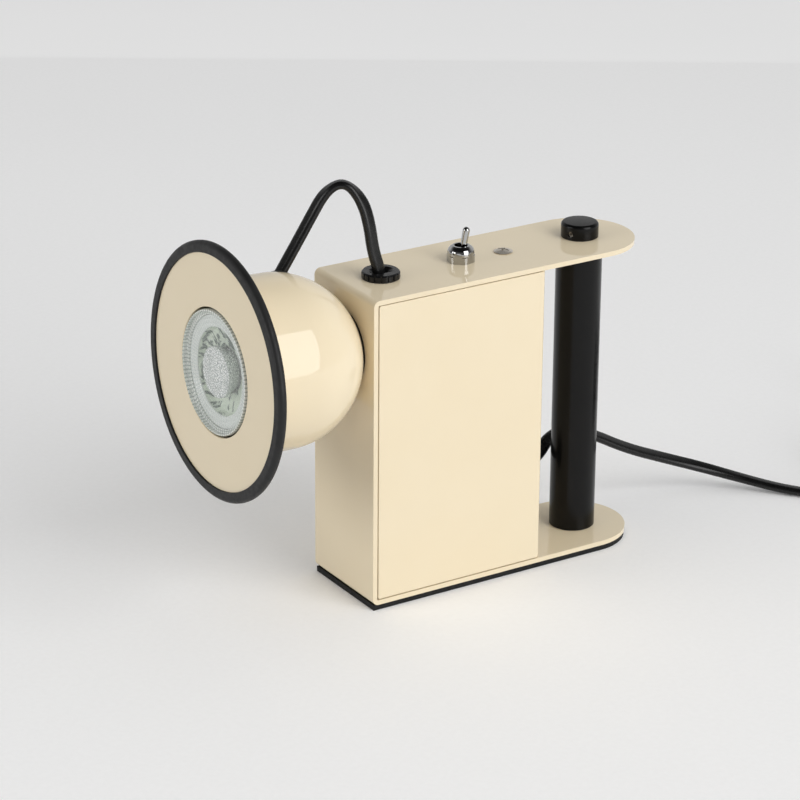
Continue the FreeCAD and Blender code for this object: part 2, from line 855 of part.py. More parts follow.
# ---------------------------------------------------------------------- head
def to_head(shape):
    """Moves a head piece built round Z to the dome centre, facing forward and up."""
    moved = shape.copy()
    turn = FreeCAD.Rotation(X_AXIS, 90 - head_rest_tilt)
    moved.Placement = FreeCAD.Placement(head_centre, turn).multiply(moved.Placement)
    return moved


def capsule(radius, front):
    """Half ball behind the centre with a straight neck to the front."""
    back = Vector(0, 0, -radius)
    middle = Vector(radius * math.sqrt(0.5), 0, -radius * math.sqrt(0.5))
    side = Vector(radius, 0, 0)
    rim = Vector(radius, 0, front)
    end = Vector(0, 0, front)
    return turned_edges([arc(back, middle, side), line(side, rim), line(rim, end), line(end, back)])


def make_dome():
    dome_front = face_distance - face_plate
    shell = capsule(dome_radius, dome_front).cut(capsule(dome_inside, dome_front + MARGIN))
    shell = to_head(shell)
    hole = along(upright(inlet_neck_radius, 0, dome_radius + MARGIN), head_centre, inlet_axis)
    return shell.cut(hole)


def make_face_plate():
    plate = upright(face_plate_radius, face_distance - face_plate, face_distance)
    return to_head(plate.cut(upright(bulb_hole_radius, 0, face_distance + MARGIN)))


def make_rim_ring():
    front = face_distance + rim_front_lip
    back = face_distance - face_plate - rim_back_lip
    outer = rim_outer_radius
    bulge = rim_round * (1 - math.sqrt(0.5))
    edges = [
        line(Vector(rim_inner_radius, 0, front), Vector(outer - rim_round, 0, front)),
        arc(
            Vector(outer - rim_round, 0, front),
            Vector(outer - bulge, 0, front - bulge),
            Vector(outer, 0, front - rim_round),
        ),
        line(Vector(outer, 0, front - rim_round), Vector(outer, 0, back + rim_round)),
        arc(
            Vector(outer, 0, back + rim_round),
            Vector(outer - bulge, 0, back + bulge),
            Vector(outer - rim_round, 0, back),
        ),
        line(Vector(outer - rim_round, 0, back), Vector(rim_inner_radius, 0, back)),
        line(Vector(rim_inner_radius, 0, back), Vector(rim_inner_radius, 0, front)),
    ]
    ring = turned_edges(edges)
    groove = upright(face_plate_radius, face_distance - face_plate, face_distance)
    return to_head(ring.cut(groove))


def make_bulb_reflector():
    outline = [
        (bulb_radius, bulb_front),
        (bulb_radius, bulb_front - bulb_band),
        (bulb_cone_radius, bulb_front - bulb_band - bulb_step),
    ]
    base = bulb_base_end + bulb_base_height
    depth = bulb_front - bulb_band - bulb_step - base
    for i in range(1, bulb_cone_steps + 1):
        angle = math.pi / 2 * i / bulb_cone_steps
        radius = bulb_collar_radius + (bulb_cone_radius - bulb_collar_radius) * math.cos(angle)
        outline.append((radius, base + depth * (1 - math.sin(angle))))
    inside = [(r - bulb_glass, z) for r, z in outline[2:]]
    lens_seat = bulb_radius - bulb_lens_edge / 2
    rim = [(lens_seat, bulb_front), (lens_seat, lens_back()), (inside[0][0], lens_back())]
    return to_head(turned(rim + inside + outline[::-1]))


def lens_back():
    return bulb_front - bulb_lens_inset


def make_bulb_lens():
    radius = bulb_radius - bulb_lens_edge / 2 - bulb_lens_fit
    edge_front = bulb_front - bulb_lens_edge / 2
    crown = bulb_lens_crown
    ball = (radius ** 2 + crown ** 2) / (2 * crown)
    half = math.asin(radius / ball) / 2
    back = Vector(0, 0, lens_back())
    corner = Vector(radius, 0, lens_back())
    side = Vector(radius, 0, edge_front)
    top = Vector(0, 0, edge_front + crown)
    between = Vector(ball * math.sin(half), 0, edge_front + crown - ball * (1 - math.cos(half)))
    edges = [line(back, corner), line(corner, side), arc(side, between, top), line(top, back)]
    return to_head(turned_edges(edges))


def make_bulb_optic():
    front = lens_back()
    foot = front - bulb_optic_depth
    return to_head(turned([
        (0, front),
        (bulb_optic_radius, front),
        (bulb_optic_radius, front - bulb_optic_band),
        (bulb_optic_foot_radius, foot),
        (0, foot),
    ]))


def make_bulb_led_board():
    top = lens_back() - bulb_optic_depth
    return to_head(upright(bulb_board_radius, top - bulb_board, top))


def make_bulb_base():
    top = bulb_base_end + bulb_base_height
    return to_head(turned([
        (0, top),
        (bulb_collar_radius, top),
        (bulb_collar_radius, top - bulb_collar_height),
        (bulb_base_radius, top - bulb_collar_height - bulb_collar_slope),
        (bulb_base_radius, bulb_base_end),
        (0, bulb_base_end),
    ]))


def make_bulb_pins():
    low = bulb_base_end - pin_length
    pins = []
    for side in (-1, 1):
        x = side * pin_spacing / 2
        stem = upright(pin_radius, low, bulb_base_end, x)
        head = upright(pin_head_radius, low, low + pin_head, x)
        pins.append(to_head(union([stem, head])))
    return group(pins)


def make_lamp_holder():
    body = upright(holder_radius, holder_back, holder_front)
    high = holder_front + MARGIN
    recess = holder_front - holder_screw_head - holder_screw_sink
    cuts = []
    for side in (-1, 1):
        x = side * pin_spacing / 2
        y = side * holder_screw_offset
        cuts.append(upright(holder_slot_radius, holder_front - holder_slot_depth, high, x))
        cuts.append(upright(holder_screw_head_radius + screw_clearance, recess, high, 0, y))
        cuts.append(upright(holder_screw_radius, holder_back - MARGIN, holder_front, 0, y))
    return to_head(body.cut(cuts))


def make_holder_screws():
    seat = holder_front - holder_screw_head - holder_screw_sink
    screws = []
    for side in (-1, 1):
        y = side * holder_screw_offset
        head = upright(holder_screw_head_radius, seat, seat + holder_screw_head, 0, y)
        shank = upright(holder_screw_radius, holder_back - strap_sheet, seat, 0, y)
        slot = driver_slot(holder_screw_head_radius, seat + holder_screw_head, 0, y)
        screws.append(to_head(union([head, shank]).cut(slot)))
    return group(screws)


def make_holder_strap():
    half = strap_width / 2
    outer = capsule(dome_inside, strap_end + MARGIN)
    inner = capsule(dome_inside - strap_sheet, strap_end + 2 * MARGIN)
    plate_back = holder_back - strap_sheet
    band = block(-dome_radius, dome_radius, -half, half, plate_back, strap_end)
    bow = outer.cut(inner).common(band)
    plate_band = block(-dome_radius, dome_radius, -half, half, plate_back, holder_back)
    plate = outer.common(plate_band)
    strap = union([bow, plate])
    holes = []
    for side in (-1, 1):
        holes.append(upright(
            holder_screw_radius, plate_back - MARGIN, holder_back + MARGIN, 0, side * holder_screw_offset
        ))
    return to_head(strap.cut(holes))


def make_flex_inlet():
    """Grommet in the dome wall: outer flange, neck and inner flange."""
    outside = along(upright(inlet_flange_radius, 0, dome_radius + inlet_flange), head_centre, inlet_axis)
    reach = dome_radius + inlet_flange + MARGIN
    ball_out = Part.makeSphere(dome_radius + inlet_flange, head_centre)
    ball_wall = Part.makeSphere(dome_radius, head_centre)
    ball_inside = Part.makeSphere(dome_inside, head_centre)
    ball_deep = Part.makeSphere(dome_inside - inlet_inner_flange, head_centre)
    flange = outside.common(ball_out).cut(ball_wall)
    neck = along(upright(inlet_neck_radius, 0, dome_radius + MARGIN), head_centre, inlet_axis)
    neck = neck.common(ball_wall).cut(ball_inside)
    lip = outside.common(ball_inside).cut(ball_deep)
    grommet = union([flange, neck, lip])
    return grommet.cut(along(upright(inlet_bore_radius, 0, reach), head_centre, inlet_axis))


# --------------------------------------------------------------- inner parts
def clamp_places():
    """Plan position of each clamping screw of the terminal block."""
    return [
        (side * block_pitch / 2, block_y + end * clamp_screw_spacing / 2)
        for side in (-1, 1)
        for end in (-1, 1)
    ]


def make_terminal_block():
    half_x = block_width / 2
    half_y = block_length / 2
    top = floor_z + block_height
    body = block(-half_x, half_x, block_y - half_y, block_y + half_y, floor_z, top)
    back = block_y - half_y - MARGIN
    front = block_y + half_y + MARGIN
    cuts = []
    for side in (-1, 1):
        x = side * block_pitch / 2
        cuts.append(rod_y(block_bore_radius + barrel_wall, x, back, front, block_bore_z))
    for x, y in clamp_places():
        cuts.append(upright(clamp_screw_head_radius + screw_clearance, block_bore_z, top + MARGIN, x, y))
    cuts.append(upright(block_screw_radius, floor_z - MARGIN, top + MARGIN, 0, block_y))
    return body.cut(cuts)


def make_terminal_barrels():
    back = block_y - barrel_length / 2
    front = block_y + barrel_length / 2
    screw_holes = [
        upright(clamp_screw_radius, block_bore_z, block_bore_z + block_height, x, y)
        for x, y in clamp_places()
    ]
    barrels = []
    for side in (-1, 1):
        x = side * block_pitch / 2
        outer = rod_y(block_bore_radius + barrel_wall, x, back, front, block_bore_z)
        bore = rod_y(block_bore_radius, x, back - MARGIN, front + MARGIN, block_bore_z)
        barrels.append(outer.cut([bore] + screw_holes))
    return group(barrels)


def make_terminal_screws():
    top = floor_z + block_height - clamp_screw_sink
    shoulder = block_bore_z + block_bore_radius + barrel_wall
    screws = []
    for x, y in clamp_places():
        shank = upright(clamp_screw_radius, block_bore_z + core_radius, shoulder, x, y)
        head = upright(clamp_screw_head_radius, shoulder, top, x, y)
        screws.append(union([shank, head]).cut(driver_slot(clamp_screw_head_radius, top, x, y)))
    return group(screws)


def make_block_screw():
    seat = floor_z + block_height
    top = seat + block_screw_head
    head = upright(block_screw_head_radius, seat, top, 0, block_y)
    shank = upright(block_screw_radius, underside_z, seat, 0, block_y)
    return union([head, shank]).cut(driver_slot(block_screw_head_radius, top, 0, block_y))


def eased_route(start, leave, end, arrive):
    """Points of a smooth curve that leaves start along one vector and meets end against another."""
    points = []
    for i in range(core_steps + 1):
        t = i / core_steps
        u = 1 - t
        near = start * u ** 3 + (start + leave) * (3 * u * u * t)
        far = (end + arrive) * (3 * u * t * t) + end * t ** 3
        points.append(near + far)
    return points


def block_mouth(side, end):
    """Where a core goes into a barrel, and how far in its end lies, under the clamping screw."""
    x = side * block_pitch / 2
    mouth = Vector(x, block_y + end * barrel_length / 2, block_bore_z)
    inside = Vector(x, block_y + end * (clamp_screw_spacing / 2 - clamp_screw_radius), block_bore_z)
    return mouth, inside


def make_supply_cores():
    """Two insulated cores from the mains flex to the terminal block."""
    start_y = cover_back_y - cover_sheet - gland_sleeve_length - cover_gap
    lead = Vector(0, supply_lead, 0)
    cores = []
    for side in (-1, 1):
        start = Vector(rear_gland_x + side * core_spacing / 2, start_y, rear_gland_z)
        mouth, inside = block_mouth(side, 1)
        route = eased_route(start, -lead, mouth, lead) + [inside]
        cores.append(tube(route, core_radius, "supply core"))
    return group(cores)


def lug_tip(step):
    """Just below the end of one of the switch's three lugs."""
    low = top_z + toggle_levels()[3] - toggle_body_height - lug_length
    return Vector(0, toggle_y + step * lug_pitch, low - cover_gap)


def make_switch_cores():
    """Cores from the block to the switch and to the head flex, and the switched return."""
    gland_low = ceiling_z - gland_sleeve_length - cover_gap
    half = core_spacing / 2
    swing = Vector(0, gland_swing, -gland_drop)
    routes = {}
    for side, name, end, arrive in (
        (1, "live core", lug_tip(0), Vector(rise_splay, -rise_splay, -lug_drop)),
        (-1, "neutral core", Vector(0, gland_y - half, gland_low), swing),
    ):
        mouth, inside = block_mouth(side, -1)
        leave = Vector(side * rise_splay, -rise_run, rise_climb)
        routes[name] = [inside] + eased_route(mouth, leave, end, arrive)
    sag = Vector(rise_splay, 0, -return_sag)
    switched_end = Vector(0, gland_y + half, gland_low)
    routes["switched core"] = eased_route(lug_tip(-1), sag, switched_end, sag)
    return group([tube(route, core_radius, name) for name, route in routes.items()])


def make_holder_cores():
    """Two cores inside the dome from the inlet to the lamp holder."""
    start = head_centre + inlet_axis * (dome_inside - inlet_inner_flange - cover_gap)
    turn = FreeCAD.Rotation(X_AXIS, 90 - head_rest_tilt)
    across = inlet_axis.cross(FORWARD).normalize()
    above = turn.multVec(Vector(0, holder_lead, 0))
    cores = []
    for side in (-1, 1):
        begin = start + across * (side * core_spacing / 2)
        x = side * (core_spacing - core_radius / 2)
        entry = Vector(x, holder_radius + holder_gap, holder_front - holder_height / 2)
        end = head_centre + turn.multVec(entry)
        route = eased_route(begin, -inlet_axis * holder_lead, end, above)
        cores.append(tube(route, core_radius, "holder core"))
    return group(cores)


# --------------------------------------------------------------------- cords
def head_flex_route():
    """From inside the dome inlet, up and over, and down into the top bushing."""
    return [
        head_centre + inlet_axis * (dome_inside - inlet_inner_flange),
        head_centre + inlet_axis * 40.5,
        Vector(-17.0, -79.0, 147.7),
        Vector(-15.8, -73.1, 157.4),
        Vector(-14.2, -68.2, 165.8),
        Vector(-11.8, -63.5, 170.2),
        Vector(-8.4, -58.9, 168.7),
        Vector(-4.8, -55.4, 162.2),
        Vector(-2.6, -54.0, 153.0),
        Vector(-1.4, -53.3, 143.5),
        Vector(0, -50.9, 134.6),
        Vector(0, gland_y, ceiling_z - gland_sleeve_length),
    ]


def mains_route():
    """From inside the rear bushing, past the post, and down to the table."""
    lie = cord_radius + 0.05
    return [
        Vector(rear_gland_x, cover_back_y - cover_sheet - gland_sleeve_length, rear_gland_z),
        Vector(rear_gland_x, 21.2, rear_gland_z),
        Vector(-7.8, 32.3, 34.7),
        Vector(-14.4, 42.0, 38.5),
        Vector(-17.9, 54.0, 38.4),
        Vector(-17.6, 66.4, 33.9),
        Vector(-14.3, 82.7, 24.7),
        Vector(-12.1, 101.5, 16.8),
        Vector(-7.9, 118.8, 10.2),
        Vector(1.6, 133.6, 5.1),
        Vector(16.6, 147.2, lie),
        Vector(33.0, 161.5, lie),
        Vector(50.0, 172.5, lie),
        Vector(60.5, 186.5, lie),
        Vector(64.0, 202.0, lie),
    ]


def plug_route():
    """From the top layer of the coil to the plug's strain relief."""
    middle = plug_thickness / 2
    return [
        Vector(52.6, 240.8, 8.6),
        Vector(44.0, 247.6, 8.7),
        Vector(34.0, 252.6, 8.8),
        Vector(23.5, 256.2, 7.8),
        Vector(12.5, relief_end.y, middle),
        Vector(relief_end.x - relief_grip, relief_end.y, middle),
    ]


def make_head_flex():
    return tube(head_flex_route(), cord_radius, "head flex")


def make_cord_coil():
    wall = upright(coil_outer_radius, 0, coil_height)
    ring = wall.cut(upright(coil_inner_radius, -MARGIN, coil_height + MARGIN))
    ring = ring.makeFillet(coil_edge, rims_at(ring, 0) + rims_at(ring, coil_height))
    return along(ring, coil_centre, Z_AXIS)


def make_mains_cord(coil):
    lead = tube(mains_route(), cord_radius, "mains cord").cut(coil)
    tail = tube(plug_route(), cord_radius, "plug tail").cut(coil)
    pieces = [max(s.Solids, key=lambda solid: solid.Volume) for s in (lead, tail)]
    return group(pieces)


def plug_place(shape):
    """Moves a plug piece built with its cord end at the origin and its pins along -Y."""
    moved = shape.copy()
    moved.rotate(Vector(), Z_AXIS, -90)
    moved.translate(relief_end)
    return moved


def make_plug_body():
    half = plug_width / 2
    neck = plug_neck_width / 2
    middle = plug_thickness / 2
    back = -relief_length
    front = back - plug_length
    outline = [
        Vector(-half, front, 0),
        Vector(half, front, 0),
        Vector(half, front + plug_shoulder, 0),
        Vector(neck, back, 0),
        Vector(-neck, back, 0),
        Vector(-half, front + plug_shoulder, 0),
    ]
    body = Part.Face(Part.makePolygon(outline + [outline[0]])).extrude(Vector(0, 0, plug_thickness))
    rims = [e for e in body.Edges if e.BoundBox.ZLength < 1e-3 and e.BoundBox.YMax > front + 1e-3]
    body = body.makeFillet(plug_edge, rims)
    foot = Vector(0, back, middle)
    relief = Part.makeCone(relief_big_radius, relief_small_radius, relief_length, foot, Y_AXIS)
    bore = rod_y(cord_radius, 0, -relief_grip, MARGIN, middle)
    return plug_place(union([body, relief]).cut(bore))


def make_plug_pins():
    root = -relief_length - plug_length
    pins = []
    for side in (-1, 1):
        x = side * plug_pin_spacing / 2
        start = Vector(x, root - plug_pin_length, plug_thickness / 2)
        pin = Part.makeCylinder(plug_pin_radius, plug_pin_length, start, Y_AXIS)
        tip = Part.makeSphere(plug_pin_radius, start)
        pins.append(plug_place(union([pin, tip])))
    return group(pins)


def build_parts():
    """Every node by name."""
    coil = make_cord_coil()
    return {
        "body_strip": make_body_strip(),
        "base_pad": make_base_pad(),
        "rear_cover": make_rear_cover(),
        "cover_screws": make_cover_screws(),
        "cover_nuts": make_cover_nuts(),
        "handle_post": make_handle_post(),
        "handle_rod": make_handle_rod(),
        "handle_cap": make_handle_cap(),
        "cap_grub_screw": make_cap_grub_screw(),
        "toggle_bushing": make_toggle_bushing(),
        "toggle_washer": make_toggle_washer(),
        "toggle_lock_nut": make_toggle_lock_nut(),
        "toggle_dress_nut": make_toggle_dress_nut(),
        "toggle_body": make_toggle_body(),
        "toggle_lugs": make_toggle_lugs(),
        "toggle_pivot_pin": make_toggle_pivot_pin(),
        "toggle_lever": make_toggle_lever(),
        "top_gland": top_gland_place(gland_piece(sheet)),
        "top_gland_nut": top_gland_place(gland_nut(sheet)),
        "rear_gland": rear_gland_place(gland_piece(cover_sheet)),
        "rear_gland_nut": rear_gland_place(gland_nut(cover_sheet)),
        "seat_ring": make_seat_ring(),
        "magnet_cup": make_magnet_cup(),
        "magnet_disc": make_magnet_disc(),
        "magnet_bridge": make_magnet_bridge(),
        "magnet_nut": make_magnet_nut(),
        "dome": make_dome(),
        "face_plate": make_face_plate(),
        "rim_ring": make_rim_ring(),
        "bulb_reflector": make_bulb_reflector(),
        "bulb_lens": make_bulb_lens(),
        "bulb_optic": make_bulb_optic(),
        "bulb_led_board": make_bulb_led_board(),
        "bulb_base": make_bulb_base(),
        "bulb_pins": make_bulb_pins(),
        "lamp_holder": make_lamp_holder(),
        "holder_screws": make_holder_screws(),
        "holder_strap": make_holder_strap(),
        "holder_cores": make_holder_cores(),
        "flex_inlet": make_flex_inlet(),
        "terminal_block": make_terminal_block(),
        "terminal_barrels": make_terminal_barrels(),
        "terminal_screws": make_terminal_screws(),
        "block_screw": make_block_screw(),
        "supply_cores": make_supply_cores(),
        "switch_cores": make_switch_cores(),
        "head_flex": make_head_flex(),
        "mains_cord": make_mains_cord(coil),
        "cord_coil": coil,
        "plug_body": make_plug_body(),
        "plug_pins": make_plug_pins(),
    }


def main():
    os.makedirs("parts", exist_ok=True)
    for name, shape in build_parts().items():
        solids = len(shape.Solids)
        state = "ok" if shape.isValid() else "INVALID"
        print(f"{name}: {solids} solids, {shape.Volume:.1f} mm3, {state}")
        shape.exportStep(f"parts/{name}.step")


main()
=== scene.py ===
import math

import bpy
from mathutils import Matrix, Quaternion, Vector


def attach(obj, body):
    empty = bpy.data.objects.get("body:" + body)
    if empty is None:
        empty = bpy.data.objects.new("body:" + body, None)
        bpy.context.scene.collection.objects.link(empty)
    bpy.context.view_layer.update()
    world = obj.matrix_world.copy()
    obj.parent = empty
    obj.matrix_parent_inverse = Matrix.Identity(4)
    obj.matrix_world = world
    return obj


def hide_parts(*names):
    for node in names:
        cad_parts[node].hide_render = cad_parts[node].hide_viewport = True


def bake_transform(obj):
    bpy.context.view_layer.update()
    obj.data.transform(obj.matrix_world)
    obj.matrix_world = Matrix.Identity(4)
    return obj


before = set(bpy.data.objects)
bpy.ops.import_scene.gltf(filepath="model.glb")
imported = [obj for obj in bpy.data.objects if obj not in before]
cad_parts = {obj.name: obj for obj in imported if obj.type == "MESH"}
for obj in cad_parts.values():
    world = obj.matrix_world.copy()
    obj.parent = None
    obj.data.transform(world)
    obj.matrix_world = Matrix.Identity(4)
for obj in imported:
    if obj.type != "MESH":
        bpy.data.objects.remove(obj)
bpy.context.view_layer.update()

MM = 0.001
SOFT = 32  # edges flatter than this many degrees are shaded smooth

# ------------------------------------------------------------ sizes, in mm
# strip and cover
half_width = 22.5
front_y = -67.5
sheet = 2.0
bend = 2.6
pad_top = 2.3
floor_z = pad_top + sheet
ceiling_z = 130.3
top_z = ceiling_z + sheet
cover_wall = 1.5
cover_back_y = 13.5

# what stands on the plates, and the radii of the bores for it
post_y = 45.0
post_radius = 9.5
cover_screw_y = 7.5
toggle_y = -12.9
gland_y = -50.5
rod_bore = 3.25
screw_bore = 2.2
toggle_bore = 3.2
gland_bore = 5.4
seat_bore = 15.6
grub_height = 2.6

# head; heights in it count from the middle of the ball towards the face
head_height = 106.7
head_standoff = 32.05
rest_tilt = 1.8
dome_radius = 35.0
dome_wall = 1.2
running_gap = 0.3
disc_back = 24.9
disc_front = 26.4
disc_radius = 49.5
inlet_bore = 3.6

# cord and plug
cord_width = 5.5
cord_thick = 3.3
plug_middle_z = 6.85
plug_length = 58


def at(x, y, z, turn=0, axis="Z"):
    """Place at x, y, z in mm, turned by so many degrees about an axis."""
    return Matrix.Translation(Vector((x, y, z)) * MM) @ Matrix.Rotation(math.radians(turn), 4, axis)


def on_top(y, turn=0):
    """Place of a piece built round Z that stands on the top plate at y."""
    return at(0, y, top_z, turn)


TO_HEAD = at(0, front_y - head_standoff, head_height, 90 - rest_tilt, "X")
TO_SEAT = at(0, front_y, head_height, 90, "X")
TO_REAR = at(-6, cover_back_y, 30, -90, "X")
HEAD_CENTRE = TO_HEAD.translation


# ---------------------------------------------------------- bench operations
def choose(*objects):
    """Selects only these objects, the first one active."""
    bpy.ops.object.select_all(action="DESELECT")
    for obj in objects:
        obj.select_set(True)
    bpy.context.view_layer.objects.active = objects[0]


def begin():
    """Leaves nothing selected, ready for a new object."""
    bpy.ops.object.select_all(action="DESELECT")


def named(name):
    """Names the object that was just added."""
    obj = bpy.context.object
    obj.name = name
    obj.data.name = name
    return obj


def edit():
    """Enters edit mode with everything selected."""
    bpy.ops.object.mode_set(mode="EDIT")
    bpy.ops.mesh.select_all(action="SELECT")


def done():
    bpy.ops.object.mode_set(mode="OBJECT")


def pick(kind, elements, test):
    """In edit mode, selects the elements that pass the test."""
    bpy.ops.mesh.select_mode(type=kind)
    bpy.ops.mesh.select_all(action="DESELECT")
    done()
    for element in elements():
        element.select = test(element)
    bpy.ops.object.mode_set(mode="EDIT")


def pick_faces(obj, test):
    """In edit mode, selects the faces whose normal passes the test."""
    pick("FACE", lambda: obj.data.polygons, lambda face: test(face.normal))


def pick_points(obj, test):
    """In edit mode, selects the vertices whose place passes the test."""
    pick("VERT", lambda: obj.data.vertices, lambda vertex: test(vertex.co))


def pull(x=0, y=0, z=0):
    """In edit mode, extrudes what is selected by so many mm."""
    bpy.ops.mesh.extrude_region_move(TRANSFORM_OT_translate={"value": (x * MM, y * MM, z * MM)})


def face_outwards():
    """Turns all faces outwards and leaves edit mode."""
    bpy.ops.mesh.select_all(action="SELECT")
    bpy.ops.mesh.normals_make_consistent(inside=False)
    done()


def settle(obj, place=None):
    """Puts the object's place into its mesh."""
    choose(obj)
    if place is not None:
        obj.matrix_world = place @ obj.matrix_world
    bpy.context.view_layer.update()
    bpy.ops.object.transform_apply(location=True, rotation=True, scale=True)
    return obj


def tidy(obj):
    """Merges doubles and points the faces outwards."""
    choose(obj)
    edit()
    bpy.ops.mesh.remove_doubles(threshold=1e-6)
    face_outwards()
    return obj


def smooth(obj, angle=SOFT):
    choose(obj)
    bpy.ops.object.shade_smooth_by_angle(angle=math.radians(angle))
    return obj


def round_edges(obj, width, segments=2, angle=30, soft=SOFT):
    """Rounds every edge sharper than the angle, and smooths the piece."""
    choose(obj)
    change = obj.modifiers.new("Edges", "BEVEL")
    change.width = width * MM
    change.segments = segments
    change.limit_method = "ANGLE"
    change.angle_limit = math.radians(angle)
    change.harden_normals = True
    smooth(obj, soft)
    bpy.ops.object.modifier_apply(modifier="Edges")
    return obj


def round_corners(obj, width):
    """Rounds the upright edges only."""
    def upright(edge):
        a, b = (obj.data.vertices[i].co for i in edge.vertices)
        return abs(a.z - b.z) > MM

    edit()
    pick("EDGE", lambda: obj.data.edges, upright)
    bpy.ops.mesh.bevel(offset=width * MM, segments=5, affect="EDGES")
    done()
    return obj


def cut(obj, *tools, operation="DIFFERENCE"):
    """Cuts the tools out of the object, or keeps what both share, and removes the tools."""
    for tool in tools:
        choose(obj)
        change = obj.modifiers.new("Cut", "BOOLEAN")
        change.operation = operation
        change.solver = "EXACT"
        change.object = tool
        bpy.ops.object.modifier_apply(modifier="Cut")
        bpy.data.objects.remove(tool, do_unlink=True)
    return obj


def joined(first, *others):
    choose(first, *others)
    bpy.ops.object.join()
    return first


def copied(obj, place):
    """A copy of the object with a mesh of its own, moved by the place."""
    choose(obj)
    bpy.ops.object.duplicate(linked=False)
    return settle(bpy.context.object, place)


def drill(radius, z0, z1, x=0.0, y=0.0, vertices=48):
    """A round cutter on Z, sizes in mm."""
    begin()
    middle = Vector((x, y, (z0 + z1) / 2)) * MM
    bpy.ops.mesh.primitive_cylinder_add(
        vertices=vertices, radius=radius * MM, depth=(z1 - z0) * MM, location=middle)
    return settle(named("drill"))


def bar(x0, x1, y0, y1, z0, z1, name):
    """A block between two corners, sizes in mm."""
    begin()
    middle = Vector((x0 + x1, y0 + y1, z0 + z1)) / 2 * MM
    size = Vector((x1 - x0, y1 - y0, z1 - z0)) * MM
    bpy.ops.mesh.primitive_cube_add(size=1, location=middle, scale=size)
    return settle(named(name))


def drawn(name, points):
    """Draws a line through points in mm, extruded on from one vertex. Stays in edit mode."""
    begin()
    bpy.ops.mesh.primitive_plane_add(size=MM, location=Vector(points[0]) * MM)
    obj = named(name)
    edit()
    bpy.ops.mesh.select_mode(type="VERT")
    bpy.ops.mesh.merge(type="CENTER")
    for a, b in zip(points, points[1:]):
        stretch = (Vector(b) - Vector(a)) * MM
        bpy.ops.mesh.extrude_vertices_move(TRANSFORM_OT_translate={"value": stretch})
    return obj


def arc(centre_z, radius, first, last, steps, centre_r=0.0):
    """Points of an arc in a profile, angles in degrees from straight out."""
    points = []
    for i in range(steps + 1):
        angle = math.radians(first + (last - first) * i / steps)
        points.append((centre_r + radius * math.cos(angle), centre_z + radius * math.sin(angle)))
    return points


def turned(name, profile, steps=96, closed=True):
    """Spins a profile of (radius, height) in mm round Z. An open one starts and ends on the axis."""
    points = [(r, 0, z) for r, z in profile]
    if closed:
        points.append(points[0])
    obj = drawn(name, points)
    bpy.ops.mesh.select_all(action="SELECT")
    bpy.ops.mesh.spin(steps=steps, angle=math.tau, center=(0, 0, 0), axis=(0, 0, 1))
    done()
    settle(obj)
    return tidy(obj)


def hexagon(name, across, z0, z1):
    """A six-sided bar on Z, so many mm across its flats."""
    begin()
    corner = across / 2 / math.cos(math.pi / 6)
    bpy.ops.mesh.primitive_cylinder_add(
        vertices=6, radius=corner * MM, depth=(z1 - z0) * MM, location=(0, 0, (z0 + z1) / 2 * MM))
    return settle(named(name))


# ------------------------------------------------------------------ finishes
class Graph:
    """The shader nodes of a material or of the world."""

    def __init__(self, tree):
        self.tree = tree
        self.place = self.node("TexCoord")

    def put(self, socket, value):
        """Sets a socket, or links it where the value is another node's output."""
        if isinstance(value, bpy.types.NodeSocket):
            self.tree.links.new(value, socket)
        else:
            socket.default_value = value

    def fill(self, node, *values, **sockets):
        """Fills the sockets in order, and others by name with _ for a space. Gives the outputs."""
        for socket, value in zip(node.inputs, values):
            self.put(socket, value)
        for name, value in sockets.items():
            self.put(node.inputs[name.replace("_", " ")], value)
        return node.outputs

    def node(self, kind, *values, operation=None, **sockets):
        """Adds a node, fills its sockets and gives its outputs."""
        node = self.tree.nodes.new("ShaderNode" + kind)
        if operation:
            node.operation = operation
        return self.fill(node, *values, **sockets)

    def maths(self, operation, *values):
        return self.node("Math", *values, operation=operation)["Value"]

    def spread(self, source, low, high, start=0.0, end=1.0):
        """Runs from low to high while the source runs from start to end."""
        reach = self.node(
            "MapRange", Value=source, From_Min=start, From_Max=end, To_Min=low, To_Max=high)
        return reach["Result"]

    def ramp(self, source, first, last, start=0.0, end=1.0):
        """Runs from the first colour to the last while the source runs from start to end."""
        node = self.tree.nodes.new("ShaderNodeValToRGB")
        node.color_ramp.elements[0].position = start
        node.color_ramp.elements[0].color = (*first, 1.0)
        node.color_ramp.elements[1].position = end
        node.color_ramp.elements[1].color = (*last, 1.0)
        return self.fill(node, Fac=source)["Color"]

    def mix(self, factor, a, b, blend="MIX"):
        node = self.tree.nodes.new("ShaderNodeMix")
        node.data_type = "RGBA"
        node.blend_type = blend
        return self.fill(node, Factor=factor, A=a, B=b)["Result"]


